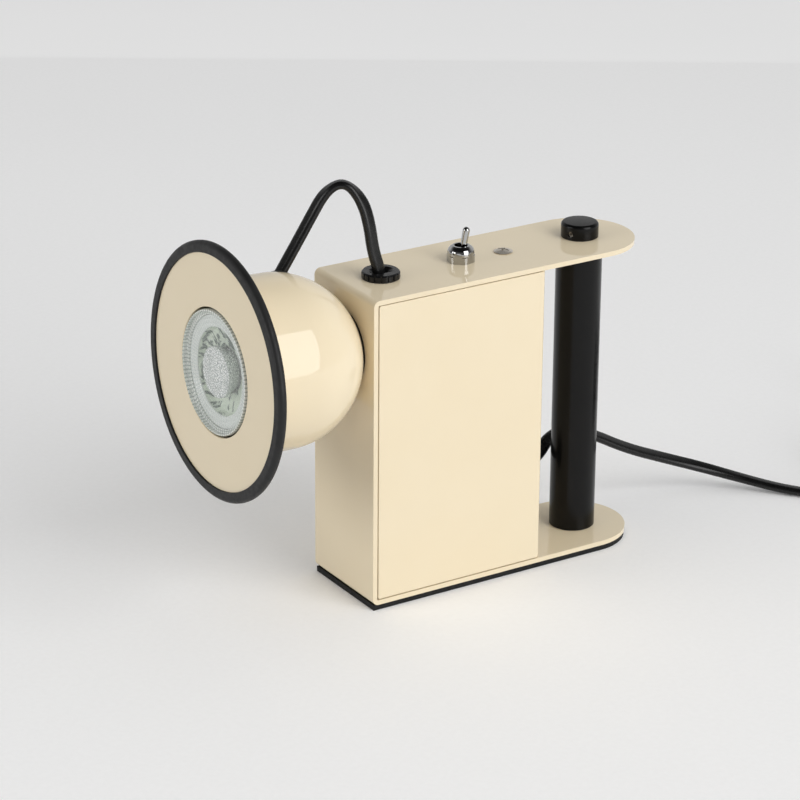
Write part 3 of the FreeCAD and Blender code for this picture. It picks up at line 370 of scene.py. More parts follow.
class Finish(Graph):
    """One procedural finish on the principled shader."""

    def __init__(self, name, color, rough, metal=0.0, **sockets):
        self.material = bpy.data.materials.new(name)
        self.material.use_nodes = True
        super().__init__(self.material.node_tree)
        self.shader = self.tree.nodes["Principled BSDF"]
        self.color = color
        self.rough = rough
        self.fill(self.shader, Base_Color=(*color, 1.0), Roughness=rough, Metallic=metal, **sockets)
        self.last_bump = None

    def noise(self, scale, detail, stretch=(1, 1, 1), distortion=0.0):
        """Soft spots, so many to a metre; stretch crowds them along an axis."""
        place = self.place["Object"]
        if stretch != (1, 1, 1):
            place = self.node("Mapping", Vector=place, Scale=stretch)["Vector"]
        spots = self.node("TexNoise", Vector=place, Scale=scale, Detail=detail, Distortion=distortion)
        return spots["Fac"]

    def cells(self, scale, feature="F1"):
        """Distances in a net of cells, so many to a metre."""
        node = self.tree.nodes.new("ShaderNodeTexVoronoi")
        node.feature = feature
        return self.fill(node, Vector=self.place["Object"], Scale=scale)["Distance"]

    def head_place(self):
        """Place in the head's own frame, with its axis as Z."""
        node = self.tree.nodes.new("ShaderNodeMapping")
        node.vector_type = "TEXTURE"
        turn = (math.radians(90 - rest_tilt), 0, 0)
        return self.fill(node, Vector=self.place["Object"], Location=HEAD_CENTRE, Rotation=turn)["Vector"]

    def ticks(self, count):
        """Waves round the head's axis, so many to a turn."""
        split = self.node("SeparateXYZ", Vector=self.head_place())
        angle = self.maths("ARCTAN2", split["Y"], split["X"])
        return self.maths("SINE", self.maths("MULTIPLY", angle, count))

    def rings(self, pitch):
        """Waves out from the head's axis, one every pitch mm."""
        flat = self.node("VectorMath", self.head_place(), (1, 1, 0), operation="MULTIPLY")["Vector"]
        radius = self.node("VectorMath", flat, operation="LENGTH")["Value"]
        return self.maths("SINE", self.maths("MULTIPLY", radius, math.tau / (pitch * MM)))

    def roughness(self, source, amount):
        """The roughness varies by the amount each way."""
        varied = self.spread(source, self.rough - amount, self.rough + amount, 0.3, 0.7)
        self.put(self.shader.inputs["Roughness"], varied)

    def tint(self, source, other, start=0.3, end=0.7):
        """The colour runs from its own to another."""
        self.put(self.shader.inputs["Base Color"], self.ramp(source, self.color, other, start, end))

    def bump(self, source, height):
        """Adds relief of that height in mm. Gives the finish."""
        node = self.tree.nodes.new("ShaderNodeBump")
        normal = self.fill(node, Height=source, Distance=height * MM, Strength=1.0)["Normal"]
        if self.last_bump is not None:
            self.put(node.inputs["Normal"], self.last_bump)
        self.put(self.shader.inputs["Normal"], normal)
        self.last_bump = normal
        return self

    def on(self, obj):
        obj.data.materials.clear()
        obj.data.materials.append(self.material)


def grey(level):
    return level, level, level


def cream_enamel():
    paint = Finish("cream_enamel", (0.850, 0.735, 0.532), 0.045, IOR=1.47)
    paint.tint(paint.noise(38, 2), (0.842, 0.724, 0.518))
    paint.roughness(paint.noise(260, 3), 0.015)
    paint.bump(paint.noise(420, 2), 0.003)
    return paint.bump(paint.noise(50, 1), 0.012)


def base_rubber():
    rubber = Finish("base_rubber", grey(0.010), 0.60, Specular_IOR_Level=0.2)
    rubber.tint(rubber.noise(300, 4), grey(0.016))
    rubber.roughness(rubber.noise(700, 3), 0.10)
    return rubber.bump(rubber.noise(2600, 3), 0.03)


def edge_rubber():
    rubber = Finish("edge_rubber", grey(0.011), 0.50, Specular_IOR_Level=0.3)
    rubber.tint(rubber.noise(120, 4), grey(0.017))
    rubber.roughness(rubber.noise(500, 3), 0.08)
    return rubber.bump(rubber.noise(2200, 3), 0.02)


def satin_black():
    paint = Finish("satin_black", grey(0.0025), 0.24, Specular_IOR_Level=0.22)
    paint.roughness(paint.noise(500, 3), 0.03)
    paint.tint(paint.noise(90, 3), grey(0.004))
    return paint.bump(paint.noise(2600, 2), 0.003)


def bright_chrome():
    plate = Finish("bright_chrome", (0.50, 0.50, 0.495), 0.035, metal=1.0)
    plate.tint(plate.noise(400, 3), grey(0.45))
    plate.roughness(plate.noise(900, 3), 0.015)
    return plate.bump(plate.noise(900, 2), 0.0015)


def nickel_screw():
    plate = Finish("nickel_screw", (0.72, 0.67, 0.59), 0.22, metal=0.6)
    plate.tint(plate.noise(700, 4), (0.54, 0.50, 0.44))
    plate.roughness(plate.noise(1200, 4), 0.08)
    return plate.bump(plate.noise(2200, 3), 0.012)


def zinc_plate():
    plate = Finish("zinc_plate", (0.58, 0.58, 0.56), 0.34, metal=1.0)
    plate.tint(plate.noise(180, 4), (0.46, 0.47, 0.48))
    plate.roughness(plate.noise(800, 4, stretch=(1, 1, 6)), 0.10)
    return plate.bump(plate.noise(1600, 4), 0.010)


def nickel_magnet():
    plate = Finish("nickel_magnet", (0.62, 0.60, 0.56), 0.20, metal=1.0)
    plate.tint(plate.noise(200, 3), (0.52, 0.50, 0.47))
    plate.roughness(plate.noise(900, 3), 0.06)
    return plate.bump(plate.noise(900, 2), 0.006)


def moulded_black():
    plastic = Finish("moulded_black", (0.005, 0.005, 0.0055), 0.26, Specular_IOR_Level=0.35)
    plastic.tint(plastic.noise(300, 3), (0.008, 0.008, 0.0085))
    plastic.roughness(plastic.noise(420, 3), 0.08)
    return plastic.bump(plastic.noise(1400, 3), 0.018)


def plug_plastic():
    plastic = Finish("plug_plastic", grey(0.008), 0.40, Specular_IOR_Level=0.35)
    plastic.tint(plastic.noise(200, 3), grey(0.012))
    plastic.roughness(plastic.noise(500, 3), 0.08)
    return plastic.bump(plastic.noise(1800, 3), 0.03)


def cord_vinyl():
    vinyl = Finish("cord_vinyl", grey(0.004), 0.27, Specular_IOR_Level=0.4)
    vinyl.tint(vinyl.noise(160, 3), grey(0.007))
    vinyl.roughness(vinyl.noise(350, 3), 0.03)
    return vinyl.bump(vinyl.noise(700, 2), 0.004)


def brass_plain():
    brass = Finish("brass_plain", (0.68, 0.50, 0.20), 0.24, metal=1.0)
    brass.tint(brass.noise(220, 4), (0.55, 0.38, 0.14))
    brass.roughness(brass.noise(700, 4), 0.08)
    return brass.bump(brass.noise(1500, 3), 0.008)


def pin_nickel():
    brass = Finish("pin_nickel", (0.66, 0.64, 0.60), 0.18, metal=1.0)
    brass.tint(brass.noise(220, 4), (0.56, 0.54, 0.50))
    brass.roughness(brass.noise(900, 4), 0.06)
    return brass.bump(brass.noise(1500, 3), 0.006)


def glazed_white():
    glaze = Finish("glazed_white", (0.74, 0.71, 0.64), 0.22)
    glaze.tint(glaze.noise(110, 4), (0.68, 0.64, 0.56))
    glaze.roughness(glaze.noise(300, 3), 0.07)
    return glaze.bump(glaze.noise(700, 3), 0.02)


def core_vinyl():
    vinyl = Finish("core_vinyl", (0.16, 0.06, 0.03), 0.35)
    vinyl.tint(vinyl.noise(60, 2), (0.10, 0.04, 0.02))
    vinyl.roughness(vinyl.noise(500, 3), 0.08)
    return vinyl.bump(vinyl.noise(1200, 2), 0.01)


def bulb_shell_glass():
    glass = Finish("bulb_shell_glass", (0.94, 0.96, 0.91), 0.08, IOR=1.6)
    glass.tint(glass.ticks(96), (0.50, 0.56, 0.51), 0.1, 0.9)
    glass.roughness(glass.noise(600, 3), 0.04)
    glass.bump(glass.rings(1.5), 0.25)
    return glass.bump(glass.noise(300, 2), 0.03)


def bulb_clear_glass():
    """Thin clear front: most light goes through, its raised ridges catch the lamps, and each ring is
    painted darker as painted shade.
    """
    glass = Finish("bulb_clear_glass", (0.95, 0.98, 0.96), 0.05, IOR=2.2, Alpha=0.18)
    ribs_and_painted_shade = glass.rings(1.9)
    # the ring waves also paint the colour darker in rings: painted shade
    glass.tint(ribs_and_painted_shade, (0.50, 0.56, 0.52), 0.2, 0.9)
    glass.roughness(glass.noise(500, 2), 0.02)
    glass.bump(ribs_and_painted_shade, 0.16)
    return glass.bump(glass.noise(240, 2), 0.04)


def bulb_milky():
    glass = Finish("bulb_milky", (0.89, 0.91, 0.87), 0.18)
    glass.tint(glass.ticks(90), (0.72, 0.78, 0.76), 0.0, 1.0)
    glass.roughness(glass.noise(400, 3), 0.08)
    return glass.bump(glass.noise(500, 2), 0.03)


def bulb_green_board():
    board = Finish("bulb_board", (0.84, 0.93, 0.78), 0.42)
    # dark patches on the board: painted dark reflections
    board.tint(board.noise(170, 4, distortion=1.2), (0.08, 0.12, 0.09), 0.52, 0.58)
    board.roughness(board.noise(400, 3), 0.08)
    return board.bump(board.cells(240), 0.5)


def bulb_honeycomb():
    lens = Finish("bulb_honeycomb", (0.38, 0.42, 0.40), 0.14, IOR=1.6)
    pattern = lens.cells(1050, feature="DISTANCE_TO_EDGE")
    lens.tint(pattern, (0.97, 0.99, 0.97), 0.03, 0.17)
    lens.roughness(lens.noise(500, 2), 0.04)
    return lens.bump(pattern, 0.5)


# --------------------------------------------------------- camera and studio
AWAY = Vector((-0.8446, 0.5354, 0))  # level, from the camera past the lamp
BRIGHT_SIDE = Vector((0.25, 0.85, 0.45)).normalized()
LAMP_MIDDLE = Vector((0, -0.05, 0.09))


def set_camera():
    """A long lens that looks down on the lamp's +X side and the front of its head."""
    data = bpy.data.cameras.new("camera")
    data.lens = 147.36
    data.sensor_width = 36.0
    data.clip_end = 100.0
    camera = bpy.data.objects.new("camera", data)
    bpy.context.collection.objects.link(camera)
    place = Matrix.Translation((1.02725, -0.69231, 0.5746))
    heading = Matrix.Rotation(math.radians(57.63), 4, "Z")
    pitch = Matrix.Rotation(math.radians(90 - 22.204), 4, "X")
    roll = Matrix.Rotation(math.radians(0.405), 4, "Z")
    camera.matrix_world = place @ heading @ pitch @ roll
    bpy.context.scene.camera = camera


def set_floor():
    """A pale floor. Past a soft line behind the lamp it is a little lighter, as a backdrop is."""
    begin()
    bpy.ops.mesh.primitive_plane_add(size=14)
    floor = named("studio_floor")
    paper = Finish("studio_paper", grey(0.70), 0.85, Specular_IOR_Level=0.15,
                   Emission_Color=(1.0, 1.0, 1.0, 1.0))
    turn = (0, 0, -math.atan2(AWAY.y, AWAY.x))
    turned_place = paper.node("Mapping", Vector=paper.place["Object"], Rotation=turn)["Vector"]
    distance = paper.node("SeparateXYZ", Vector=turned_place)["X"]
    back = paper.spread(distance, 0.0, 1.0, 0.728, 0.733)

    unevenness = 0.012
    speck = paper.spread(paper.noise(420, 4), -1.0, 1.0, 0.3, 0.7)
    cloud = paper.spread(paper.noise(2.2, 3), -1.0, 1.0, 0.3, 0.7)
    level = paper.maths("MULTIPLY_ADD", speck, unevenness, 1.0)
    level = paper.maths("MULTIPLY_ADD", cloud, unevenness, level)
    tone = paper.ramp(back, grey(0.92), grey(0.962))
    shade = paper.mix(1.0, tone, level, blend="MULTIPLY")

    rays = paper.node("LightPath")
    direct = paper.maths("MAXIMUM", rays["Is Camera Ray"], rays["Is Glossy Ray"])
    glow = paper.maths("MULTIPLY", direct, paper.spread(back, 0.062, 0.075))
    seen = paper.mix(direct, (0.80, 0.80, 0.80, 1), shade)
    paper.fill(paper.shader, Base_Color=seen, Emission_Strength=glow)
    paper.on(floor)


def set_world():
    """Plain light all round; reflections see a dim room with the pale backdrop at the back."""
    world = bpy.data.worlds.new("studio")
    bpy.context.scene.world = world
    world.use_nodes = True
    world.node_tree.nodes.clear()
    sky = Graph(world.node_tree)
    way = sky.place["Generated"]
    rays = sky.node("LightPath")

    towards_back = sky.node("VectorMath", way, AWAY, operation="DOT_PRODUCT")["Value"]
    room = sky.ramp(towards_back, grey(0.13), grey(0.60), 0.10, 0.60)
    height = sky.node("SeparateXYZ", Vector=way)["Z"]
    ceiling = sky.spread(height, 1.0, 0.10, 0.45, 0.72)
    mirrored = sky.node("Background", Color=room, Strength=ceiling)["Background"]

    towards_light = sky.node("VectorMath", way, BRIGHT_SIDE, operation="DOT_PRODUCT")["Value"]
    amount = sky.spread(towards_light, 0.15, 0.64, -1.0, 1.0)
    lighting = sky.node("Background", Color=(1.0, 1.0, 1.0, 1), Strength=amount)["Background"]
    seen = sky.node("Background", Color=(0.74, 0.74, 0.74, 1))["Background"]

    through = sky.maths("MAXIMUM", rays["Is Camera Ray"], rays["Is Transmission Ray"])
    gloss = sky.node("MixShader", rays["Is Glossy Ray"], lighting, mirrored)["Shader"]
    sky.node("OutputWorld", Surface=sky.node("MixShader", through, gloss, seen)["Shader"])
    bpy.context.scene.view_settings.view_transform = "Standard"


def softbox(name, direction, distance, width, height, power, roll=0):
    """An area light that faces the lamp from that direction, rolled by so many degrees."""
    data = bpy.data.lights.new(name, "AREA")
    data.shape = "RECTANGLE"
    data.size = width
    data.size_y = height
    data.energy = power
    light = bpy.data.objects.new(name, data)
    bpy.context.collection.objects.link(light)
    way = Vector(direction).normalized()
    light.location = LAMP_MIDDLE + way * distance
    facing = way.to_track_quat("Z", "Y") @ Quaternion((0, 0, 1), math.radians(roll))
    light.rotation_euler = facing.to_euler()
    light.visible_camera = False


def set_lights():
    softbox("window_softbox", (0.864, 0.272, 0.423), distance=3.2, width=2.0, height=3.2,
            power=71.0, roll=-12)
    softbox("front_fill", (-0.15, -0.95, 0.24), distance=3.0, width=1.6, height=1.6, power=29.0)


# --------------------------------------------------------------------- cords
def route(name, points):
    """The smooth line that a cord follows: control points in metres."""
    curve = bpy.data.curves.new(name, "CURVE")
    curve.dimensions = "3D"
    curve.resolution_u = 10
    spline = curve.splines.new("NURBS")
    spline.points.add(len(points) - 1)
    for target, point in zip(spline.points, points):
        target.co = (*point, 1.0)
    spline.order_u = 3
    spline.use_endpoint_u = True
    obj = bpy.data.objects.new(name, curve)
    bpy.context.collection.objects.link(obj)
    bpy.context.view_layer.update()
    line = bpy.data.meshes.new_from_object(obj)
    path = [vertex.co.copy() for vertex in line.vertices]
    bpy.data.objects.remove(obj, do_unlink=True)
    return path


def length_of(path):
    return sum((b - a).length for a, b in zip(path, path[1:]))


def ahead_at(path, i):
    """The way that the path runs at its point i."""
    return path[min(i + 1, len(path) - 1)] - path[max(i - 1, 0)]


def step(value, start, end):
    """0 before start, 1 after end, and a soft step between."""
    t = min(1.0, max(0.0, (value - start) / (end - start)))
    return t * t * (3 - 2 * t)


def section():
    """Outline of the flat cord: width along the first axis, round ends and a shallow groove each side."""
    steps = 6
    half = (cord_width - cord_thick) / 2
    radius = cord_thick / 2
    points = []
    for side, start in ((1, -90), (-1, 90)):
        for i in range(steps + 1):
            angle = math.radians(start + 180 * i / steps)
            points.append((side * half + radius * math.cos(angle), radius * math.sin(angle)))
        points.append((0.0, side * radius * 0.93))
    return points


def flat_cord(name, path, sides):
    """Sweeps the flat section along a path. The sides give the width direction at each point."""
    begin()
    outline = section()
    count = len(outline)
    bpy.ops.mesh.primitive_grid_add(x_subdivisions=count, y_subdivisions=len(path) - 1, size=1)
    obj = named(name)
    place = []
    for i, point in enumerate(path):
        ahead = ahead_at(path, i)
        side = sides[i] - ahead * sides[i].dot(ahead) / ahead.length_squared
        side.normalize()
        up = ahead.cross(side).normalized()
        for wide, high in outline + outline[:1]:
            place.append(point + (side * wide + up * high) * MM)
    for vertex, co in zip(obj.data.vertices, place):
        vertex.co = co
    tidy(obj)
    edit()
    bpy.ops.mesh.select_mode(type="EDGE")
    bpy.ops.mesh.select_all(action="DESELECT")
    bpy.ops.mesh.select_non_manifold()
    bpy.ops.mesh.edge_face_add()
    face_outwards()
    return smooth(obj, 60)


LEAD_END_Y = 0.16  # metres; from here on the cord lies flat on the table


def lead_sides(path):
    """The lead leaves level, leans its flat side outwards on the way down, and lies level again."""
    sides = []
    for i, point in enumerate(path):
        ahead = ahead_at(path, i)
        level = Vector((ahead.y, -ahead.x, 0)).normalized()
        lean = 0.0
        if point.y < LEAD_END_Y:
            lean = 30 * step(point.y - path[0].y, 0.016, 0.04) * step(point.z, 0.003, 0.012)
        turn = math.radians(lean)
        sides.append(level * math.cos(turn) - Vector((0, 0, math.sin(turn))))
    return sides


# the mains cord's way from the rear bushing down to the coil, and from the coil to the plug
MAINS_LEAD = [
    (-0.0060, 0.0064, 0.0300), (-0.0060, 0.0212, 0.0300), (-0.0078, 0.0323, 0.0347),
    (-0.0144, 0.0420, 0.0385), (-0.0179, 0.0540, 0.0384), (-0.0176, 0.0664, 0.0339),
    (-0.0143, 0.0827, 0.0247), (-0.0121, 0.1015, 0.0168), (-0.0079, 0.1188, 0.0102),
    (0.0016, 0.1336, 0.0051), (0.0166, 0.1472, 0.0019), (0.0330, 0.1615, 0.0018),
    (0.0500, 0.1725, 0.0018), (0.0605, 0.1865, 0.0018), (0.0640, 0.2020, 0.0018),
]
PLUG_TAIL = [
    (0.0656, 0.2400, 0.0118), (0.0545, 0.2530, 0.0098), (0.0405, 0.2592, 0.0082),
    (0.0255, 0.2600, 0.0070), (0.0125, 0.2585, 0.00685), (0.0010, 0.2584, 0.00685),
]
HEAD_FLEX = [
    (-0.0157, -0.0893, 0.1330), (-0.0157, -0.0850, 0.1392), (-0.0156, -0.0795, 0.1474),
    (-0.0152, -0.0734, 0.1570), (-0.0142, -0.0682, 0.1659), (-0.0114, -0.0629, 0.1703),
    (-0.0084, -0.0589, 0.1687), (-0.0048, -0.0554, 0.1622), (-0.0026, -0.0540, 0.1530),
    (-0.0014, -0.0533, 0.1435), (0.0, -0.0509, 0.1346), (0.0, -0.0505, 0.1247),
]

# The coil: three slots of one cord's width, filled inwards, outwards and inwards again in three
# layers. Its control points run from the first to the last degree of travel. Each move is an
# amount in mm and the degrees of travel between which it is made.
COIL_MIDDLE = Vector((0.030, 0.217, 0))
coil_start = -24
coil_first, coil_last, coil_step = 12, 2960, 20
coil_radius = 36.9
OUTWARD_MOVES = (
    (-1.3, 0, 22), (-cord_width, 285, 355), (-cord_width, 645, 715),
    (cord_width, 1280, 1330), (cord_width, 1640, 1690),
    (-cord_width, 2240, 2320), (-cord_width, 2600, 2680), (17.0, 2880, 2965),
)
coil_height = 1.75
UPWARD_MOVES = ((3.6, 960, 1005), (3.6, 1960, 2005), (3.3, 2840, 2900), (-0.4, 2930, 2960))


def moved(start, moves, travel):
    """A size in mm after the moves that the cord has made by then."""
    return start + sum(amount * step(travel, first, last) for amount, first, last in moves)


def coil_point(travel):
    """Control point of the coil, so many degrees round from where the lead joins it."""
    angle = math.radians(travel + coil_start)
    out = moved(coil_radius, OUTWARD_MOVES, travel) / math.cos(math.radians(coil_step / 2)) * MM
    height = moved(coil_height, UPWARD_MOVES, travel) * MM
    return COIL_MIDDLE + Vector((math.cos(angle) * out, math.sin(angle) * out, height))


def make_mains_cord():
    turns = [coil_point(travel) for travel in range(coil_first, coil_last, coil_step)]
    path = route("mains_line", MAINS_LEAD + turns + PLUG_TAIL)
    cord = flat_cord("mains_flex", path, lead_sides(path))
    return cord, path


def head_flex_sides(path):
    """The flex bends over its flat side, and turns into line with the bushing's slot."""
    sides = []
    for i in range(len(path)):
        t = i / (len(path) - 1)
        turn = math.radians(-30.4 + 40 * (1 - step(t, 0.30, 0.46)) - 52 * step(t, 0.50, 0.66))
        sides.append(Vector((math.cos(turn), math.sin(turn), 0)))
    return sides


def make_head_flex():
    """Three spans of the same length, each with its path and the bodies that it joins."""
    path = route("head_flex_line", HEAD_FLEX)
    sides = head_flex_sides(path)
    run = [length_of(path[:i + 1]) / length_of(path) for i in range(len(path))]
    spans = []
    first = 0
    pairs = (("head", "flex"), ("flex", "seat"), ("seat", "body"))
    for number, (a, b) in enumerate(pairs, 1):
        last = min(range(len(path)), key=lambda i: abs(run[i] - number / len(pairs)))
        part = path[first:last + 1]
        piece = flat_cord(f"head_flex_span_{number}", part, sides[first:last + 1])
        spans.append((piece, part, a, b))
        first = last
    return spans


# ---------------------------------------------------------------- body shell
def plan_plate(name, z0, z1, front, inset=0.0):
    """A plate with a straight front end and a round rear end."""
    near = 0.01
    begin()
    bpy.ops.mesh.primitive_circle_add(
        vertices=128, radius=(half_width - inset) * MM, location=(0, post_y * MM, z0 * MM))
    obj = settle(named(name))
    edit()
    pick_points(obj, lambda co: co.y < (post_y - near) * MM)
    bpy.ops.mesh.delete(type="VERT")
    pick_points(obj, lambda co: co.y < (post_y + near) * MM)
    bpy.ops.mesh.extrude_vertices_move(
        TRANSFORM_OT_translate={"value": (0, (front - post_y) * MM, 0)})
    bpy.ops.mesh.select_all(action="SELECT")
    bpy.ops.mesh.edge_face_add()
    pull(z=z1 - z0)
    face_outwards()
    return obj


def make_strip():
    """The strip: laid flat, bent up, bent back over the top, and its ends cut round."""
    bend_y = front_y + bend
    rise = top_z - pad_top - 2 * bend
    back = post_y + half_width - bend_y
    strip = bar(-half_width, half_width, bend_y, post_y + half_width, pad_top, floor_z, "bent_strip")
    edit()
    pick_faces(strip, lambda normal: normal.y < -0.9)
    for bend_z, onward in ((pad_top + bend, (0, 0, rise)), (top_z - bend, (0, back, 0))):
        bpy.ops.mesh.spin(
            steps=8, angle=math.radians(90), axis=(1, 0, 0), center=(0, bend_y * MM, bend_z * MM))
        pull(*onward)
    done()
    tidy(strip)
    cut(strip, plan_plate("outline", -1, top_z + 1, front_y - 1), operation="INTERSECT")
    holes = [
        settle(drill(seat_bore, -3, 1, vertices=96), TO_SEAT),
        drill(rod_bore, 0, top_z + 1, 0, post_y),
        drill(screw_bore, 0, top_z + 1, 0, cover_screw_y),
        drill(toggle_bore, ceiling_z - 1, top_z + 1, 0, toggle_y),
        drill(gland_bore, ceiling_z - 1, top_z + 1, 0, gland_y),
    ]
    cut(strip, *holes)
    return round_edges(strip, 0.4, 3)


def make_cover():
    """The cover: sides and back in one sheet, with a tab for each screw."""
    slack = 0.4
    corner = 2.2
    low = floor_z + slack
    front = front_y + sheet + 0.45
    plan = [(half_width, front, low)]
    for x, first in ((half_width - corner, 0), (corner - half_width, 90)):
        plan += [(*point, low) for point in arc(cover_back_y - corner, corner, first, first + 90, 8, x)]
    plan.append((-half_width, front, low))
    cover = drawn("cover_sheet", plan)
    bpy.ops.mesh.select_all(action="SELECT")
    rise = ceiling_z - slack - low
    bpy.ops.mesh.extrude_edges_move(TRANSFORM_OT_translate={"value": (0, 0, rise * MM)})
    done()
    settle(cover)
    edit()
    pick_points(cover, lambda co: co.y < (front + 1) * MM)
    bpy.ops.mesh.bevel(offset=0.8 * MM, segments=4, affect="VERTICES")
    face_outwards()
    if min(face.normal.x for face in cover.data.polygons if face.center.x > (half_width - 0.5) * MM) < 0:
        edit()
        bpy.ops.mesh.flip_normals()
        done()
    choose(cover)
    wall = cover.modifiers.new("Wall", "SOLIDIFY")
    wall.thickness = cover_wall * MM
    wall.offset = -1
    wall.use_even_offset = True
    bpy.ops.object.modifier_apply(modifier="Wall")
    cut(cover, settle(drill(gland_bore, -2.5, 1), TO_REAR))
    tabs = []
    for z in (floor_z, ceiling_z - cover_wall):
        tab = bar(-9, 9, 0.0, cover_back_y - 1.3, z, z + cover_wall, "tab")
        cut(tab, drill(screw_bore, z - 1, z + 3, 0, cover_screw_y))
        tabs.append(tab)
    joined(cover, *tabs)
    return round_edges(cover, 0.25, 2)


def make_pad():
    """The rubber pad, with recesses for the rod's and the lower screw's heads."""
    pad = plan_plate("base_rubber", 0, pad_top, front_y + 0.5, 0.35)
    cut(pad, drill(8.2, -1, 3, 0, post_y), drill(5.1, -1, 3, 0, cover_screw_y))
    return round_edges(pad, 0.55, 3)


# ------------------------------------------------------------ post and screws
def make_post():
    chamfer = 0.25
    post = turned("handle_tube", [
        (rod_bore, floor_z), (post_radius - chamfer, floor_z), (post_radius, floor_z + chamfer),
        (post_radius, ceiling_z - chamfer), (post_radius - chamfer, ceiling_z), (rod_bore, ceiling_z),
    ], steps=128)
    return settle(smooth(post), at(0, post_y, 0))


# the grub screw's hole leaves the cap sideways, grub_height above the plate
TO_GRUB = at(0, 0, grub_height, -66) @ Matrix.Rotation(math.radians(90), 4, "Y")


def make_cap():
    """A round cap nut, hollow from below, with the grub screw's hole."""
    profile = [(0, 5.0), (3, 5.0), (3, 0.2), (3.2, 0), (7.5, 0), (7.7, 0.2)]
    profile += arc(5.1, 1.3, 0, 90, 6, 6.4) + [(0, 6.4)]
    cap = turned("post_cap", profile, steps=128, closed=False)
    cut(cap, settle(drill(1.2, 0, 9), TO_GRUB))
    round_edges(cap, 0.15, 2)
    return settle(cap, on_top(post_y))


def make_grub():
    """The grub screw, with a hexagon recess for its key."""
    grub = drill(1.2, 3.05, 6.65)
    grub.name = "cap_grub"
    cut(grub, hexagon("key", 1.3, 5.25, 7))
    round_edges(grub, 0.1, 2)
    return settle(grub, on_top(post_y) @ TO_GRUB)


def make_cover_screws():
    """Raised heads with a cross recess, one arm of which narrows downwards."""
    radius = 3.9
    rim = 0.32
    rise = 0.98
    ball = (radius ** 2 + rise ** 2) / (2 * rise)
    edge = math.degrees(math.acos(radius / ball))
    profile = [(0, -9), (1.6, -9), (2, -8.6), (2, 0), (3.3, 0), (radius, rim)]
    profile += arc(rim + rise - ball, ball, edge, 90, 8)
    screw = turned("cover_screw", profile, closed=False)
    long_arm = bar(-2.4, 2.4, -0.5, 0.5, -0.4, 2.0, "cross")
    cross_arm = bar(-0.5, 0.5, -2.4, 2.4, -0.4, 2.0, "cross_2")
    edit()
    pick_faces(cross_arm, lambda normal: normal.z < -0.9)
    bpy.ops.transform.resize(value=(0.5, 0.5, 1))
    done()
    cut(screw, long_arm, cross_arm)
    round_edges(screw, 0.08, 2)
    lower = copied(screw, at(0, cover_screw_y, pad_top, 180, "X"))
    settle(screw, on_top(cover_screw_y, 35))
    return joined(screw, lower)


# ----------------------------------------------------------------- the switch
def make_dress_nut():
    """A hexagon nut turned down to a bulged bell above, with its bore."""
    across = 10.6
    height = 6.6
    corner = across / 2 / math.cos(math.pi / 6)
    foot = Vector((5.45, 2.9))
    rim = Vector((3.48, height))
    out = Vector((rim.y - foot.y, foot.x - rim.x)).normalized()
    profile = [(0, 0), (corner, 0), (corner, 2.5)]
    for i in range(13):
        t = i / 12
        profile.append(tuple(foot.lerp(rim, t) + out * (3.0 * t * (1 - t))))
    profile.append((0, height))
    bell = turned("bell", profile, steps=96, closed=False)
    nut = hexagon("dress_nut", across, -1, height + 1)
    round_corners(nut, 1.5)
    cut(nut, bell, operation="INTERSECT")
    cut(nut, drill(3.0, -1, 4.99), drill(2.733, -1, 8))
    round_edges(nut, 0.16, 3, 24)
    return settle(nut, on_top(toggle_y, 16))


def make_lever():
    """A ball on the pivot and a slim taper to a round tip, leaning forwards."""
    profile = [(0, -6), (0.7, -6), (0.88, -5.8)]
    profile += arc(0, 2.1, -65, 58, 14)
    profile += [(1.14, 2.0), (1.45, 12.4)]
    profile += arc(12.55, 1.45, 8, 90, 8)
    lever = turned("switch_lever", profile, steps=64, closed=False)
    lean = Matrix.Rotation(math.radians(-11), 4, "X")
    return settle(smooth(lever, 40), on_top(toggle_y) @ lean)


# ------------------------------------------------------------------- bushings
def slot_tool():
    """A slot with round ends and a funnel mouth, long in X."""
    begin()
    bpy.ops.mesh.primitive_circle_add(
        vertices=40, radius=2.35 * MM, fill_type="NGON", location=(0, 0, -9 * MM))
    tool = settle(named("slot"))
    edit()
    for side in (-1, 1):
        pick_points(tool, lambda co: co.x * side > -1e-7)
        bpy.ops.transform.translate(value=(side * 0.95 * MM, 0, 0))
    pick_faces(tool, lambda normal: True)
    pull(z=10.1)
    for height, wider in ((1.2, (1.25, 1.22, 1)), (0.7, (1.26, 1.29, 1))):
        pull(z=height)
        bpy.ops.transform.resize(value=wider)
    pull(z=0.4)
    done()
    return tidy(tool)


def make_bushing(name):
    """A ribbed round flange with a sleeve below, slotted for the flat cord."""
    groove_count = 18
    bushing = turned(name, [
        (0, -7.6), (4.9, -7.6), (5.2, -7.3), (5.2, 0), (7.5, 0), (7.7, 0.2),
        (7.7, 2.4), (7.1, 3.0), (0, 3.0),
    ], steps=90, closed=False)
    grooves = [bar(7.25, 8.5, -0.32, 0.32, 0.6, 3.5, "groove")]
    for i in range(1, groove_count):
        turn = Matrix.Rotation(math.tau * i / groove_count, 4, "Z")
        grooves.append(copied(grooves[0], turn))
    cut(bushing, joined(*grooves), slot_tool())
    return round_edges(bushing, 0.14, 2, 28)


def make_bushings():
    top = make_bushing("top_bushing")
    rear = copied(top, TO_REAR)
    rear.name = "rear_bushing"
    settle(top, on_top(gland_y, 90))
    return top, rear


# ----------------------------------------------------------------------- head
def make_seat_collar():
    """The black ring in the front plate, whose ball-shaped bore holds the dome."""
    bore = dome_radius + running_gap
    inner = math.degrees(math.acos(13.5 / bore))
    outer = math.degrees(math.acos(15.73 / bore))
    profile = [(15.85, 0.45), (16, 0.3), (16, 0.1), (15.4, 0.1), (15.4, -2.05)]
    profile += [(16.3, -2.05), (15.4, -3.05), (13.5, -3.05)]
    profile += arc(head_standoff, bore, -inner, -outer, 10)
    collar = turned("seat_collar", profile, steps=128)
    return settle(smooth(collar), TO_SEAT)


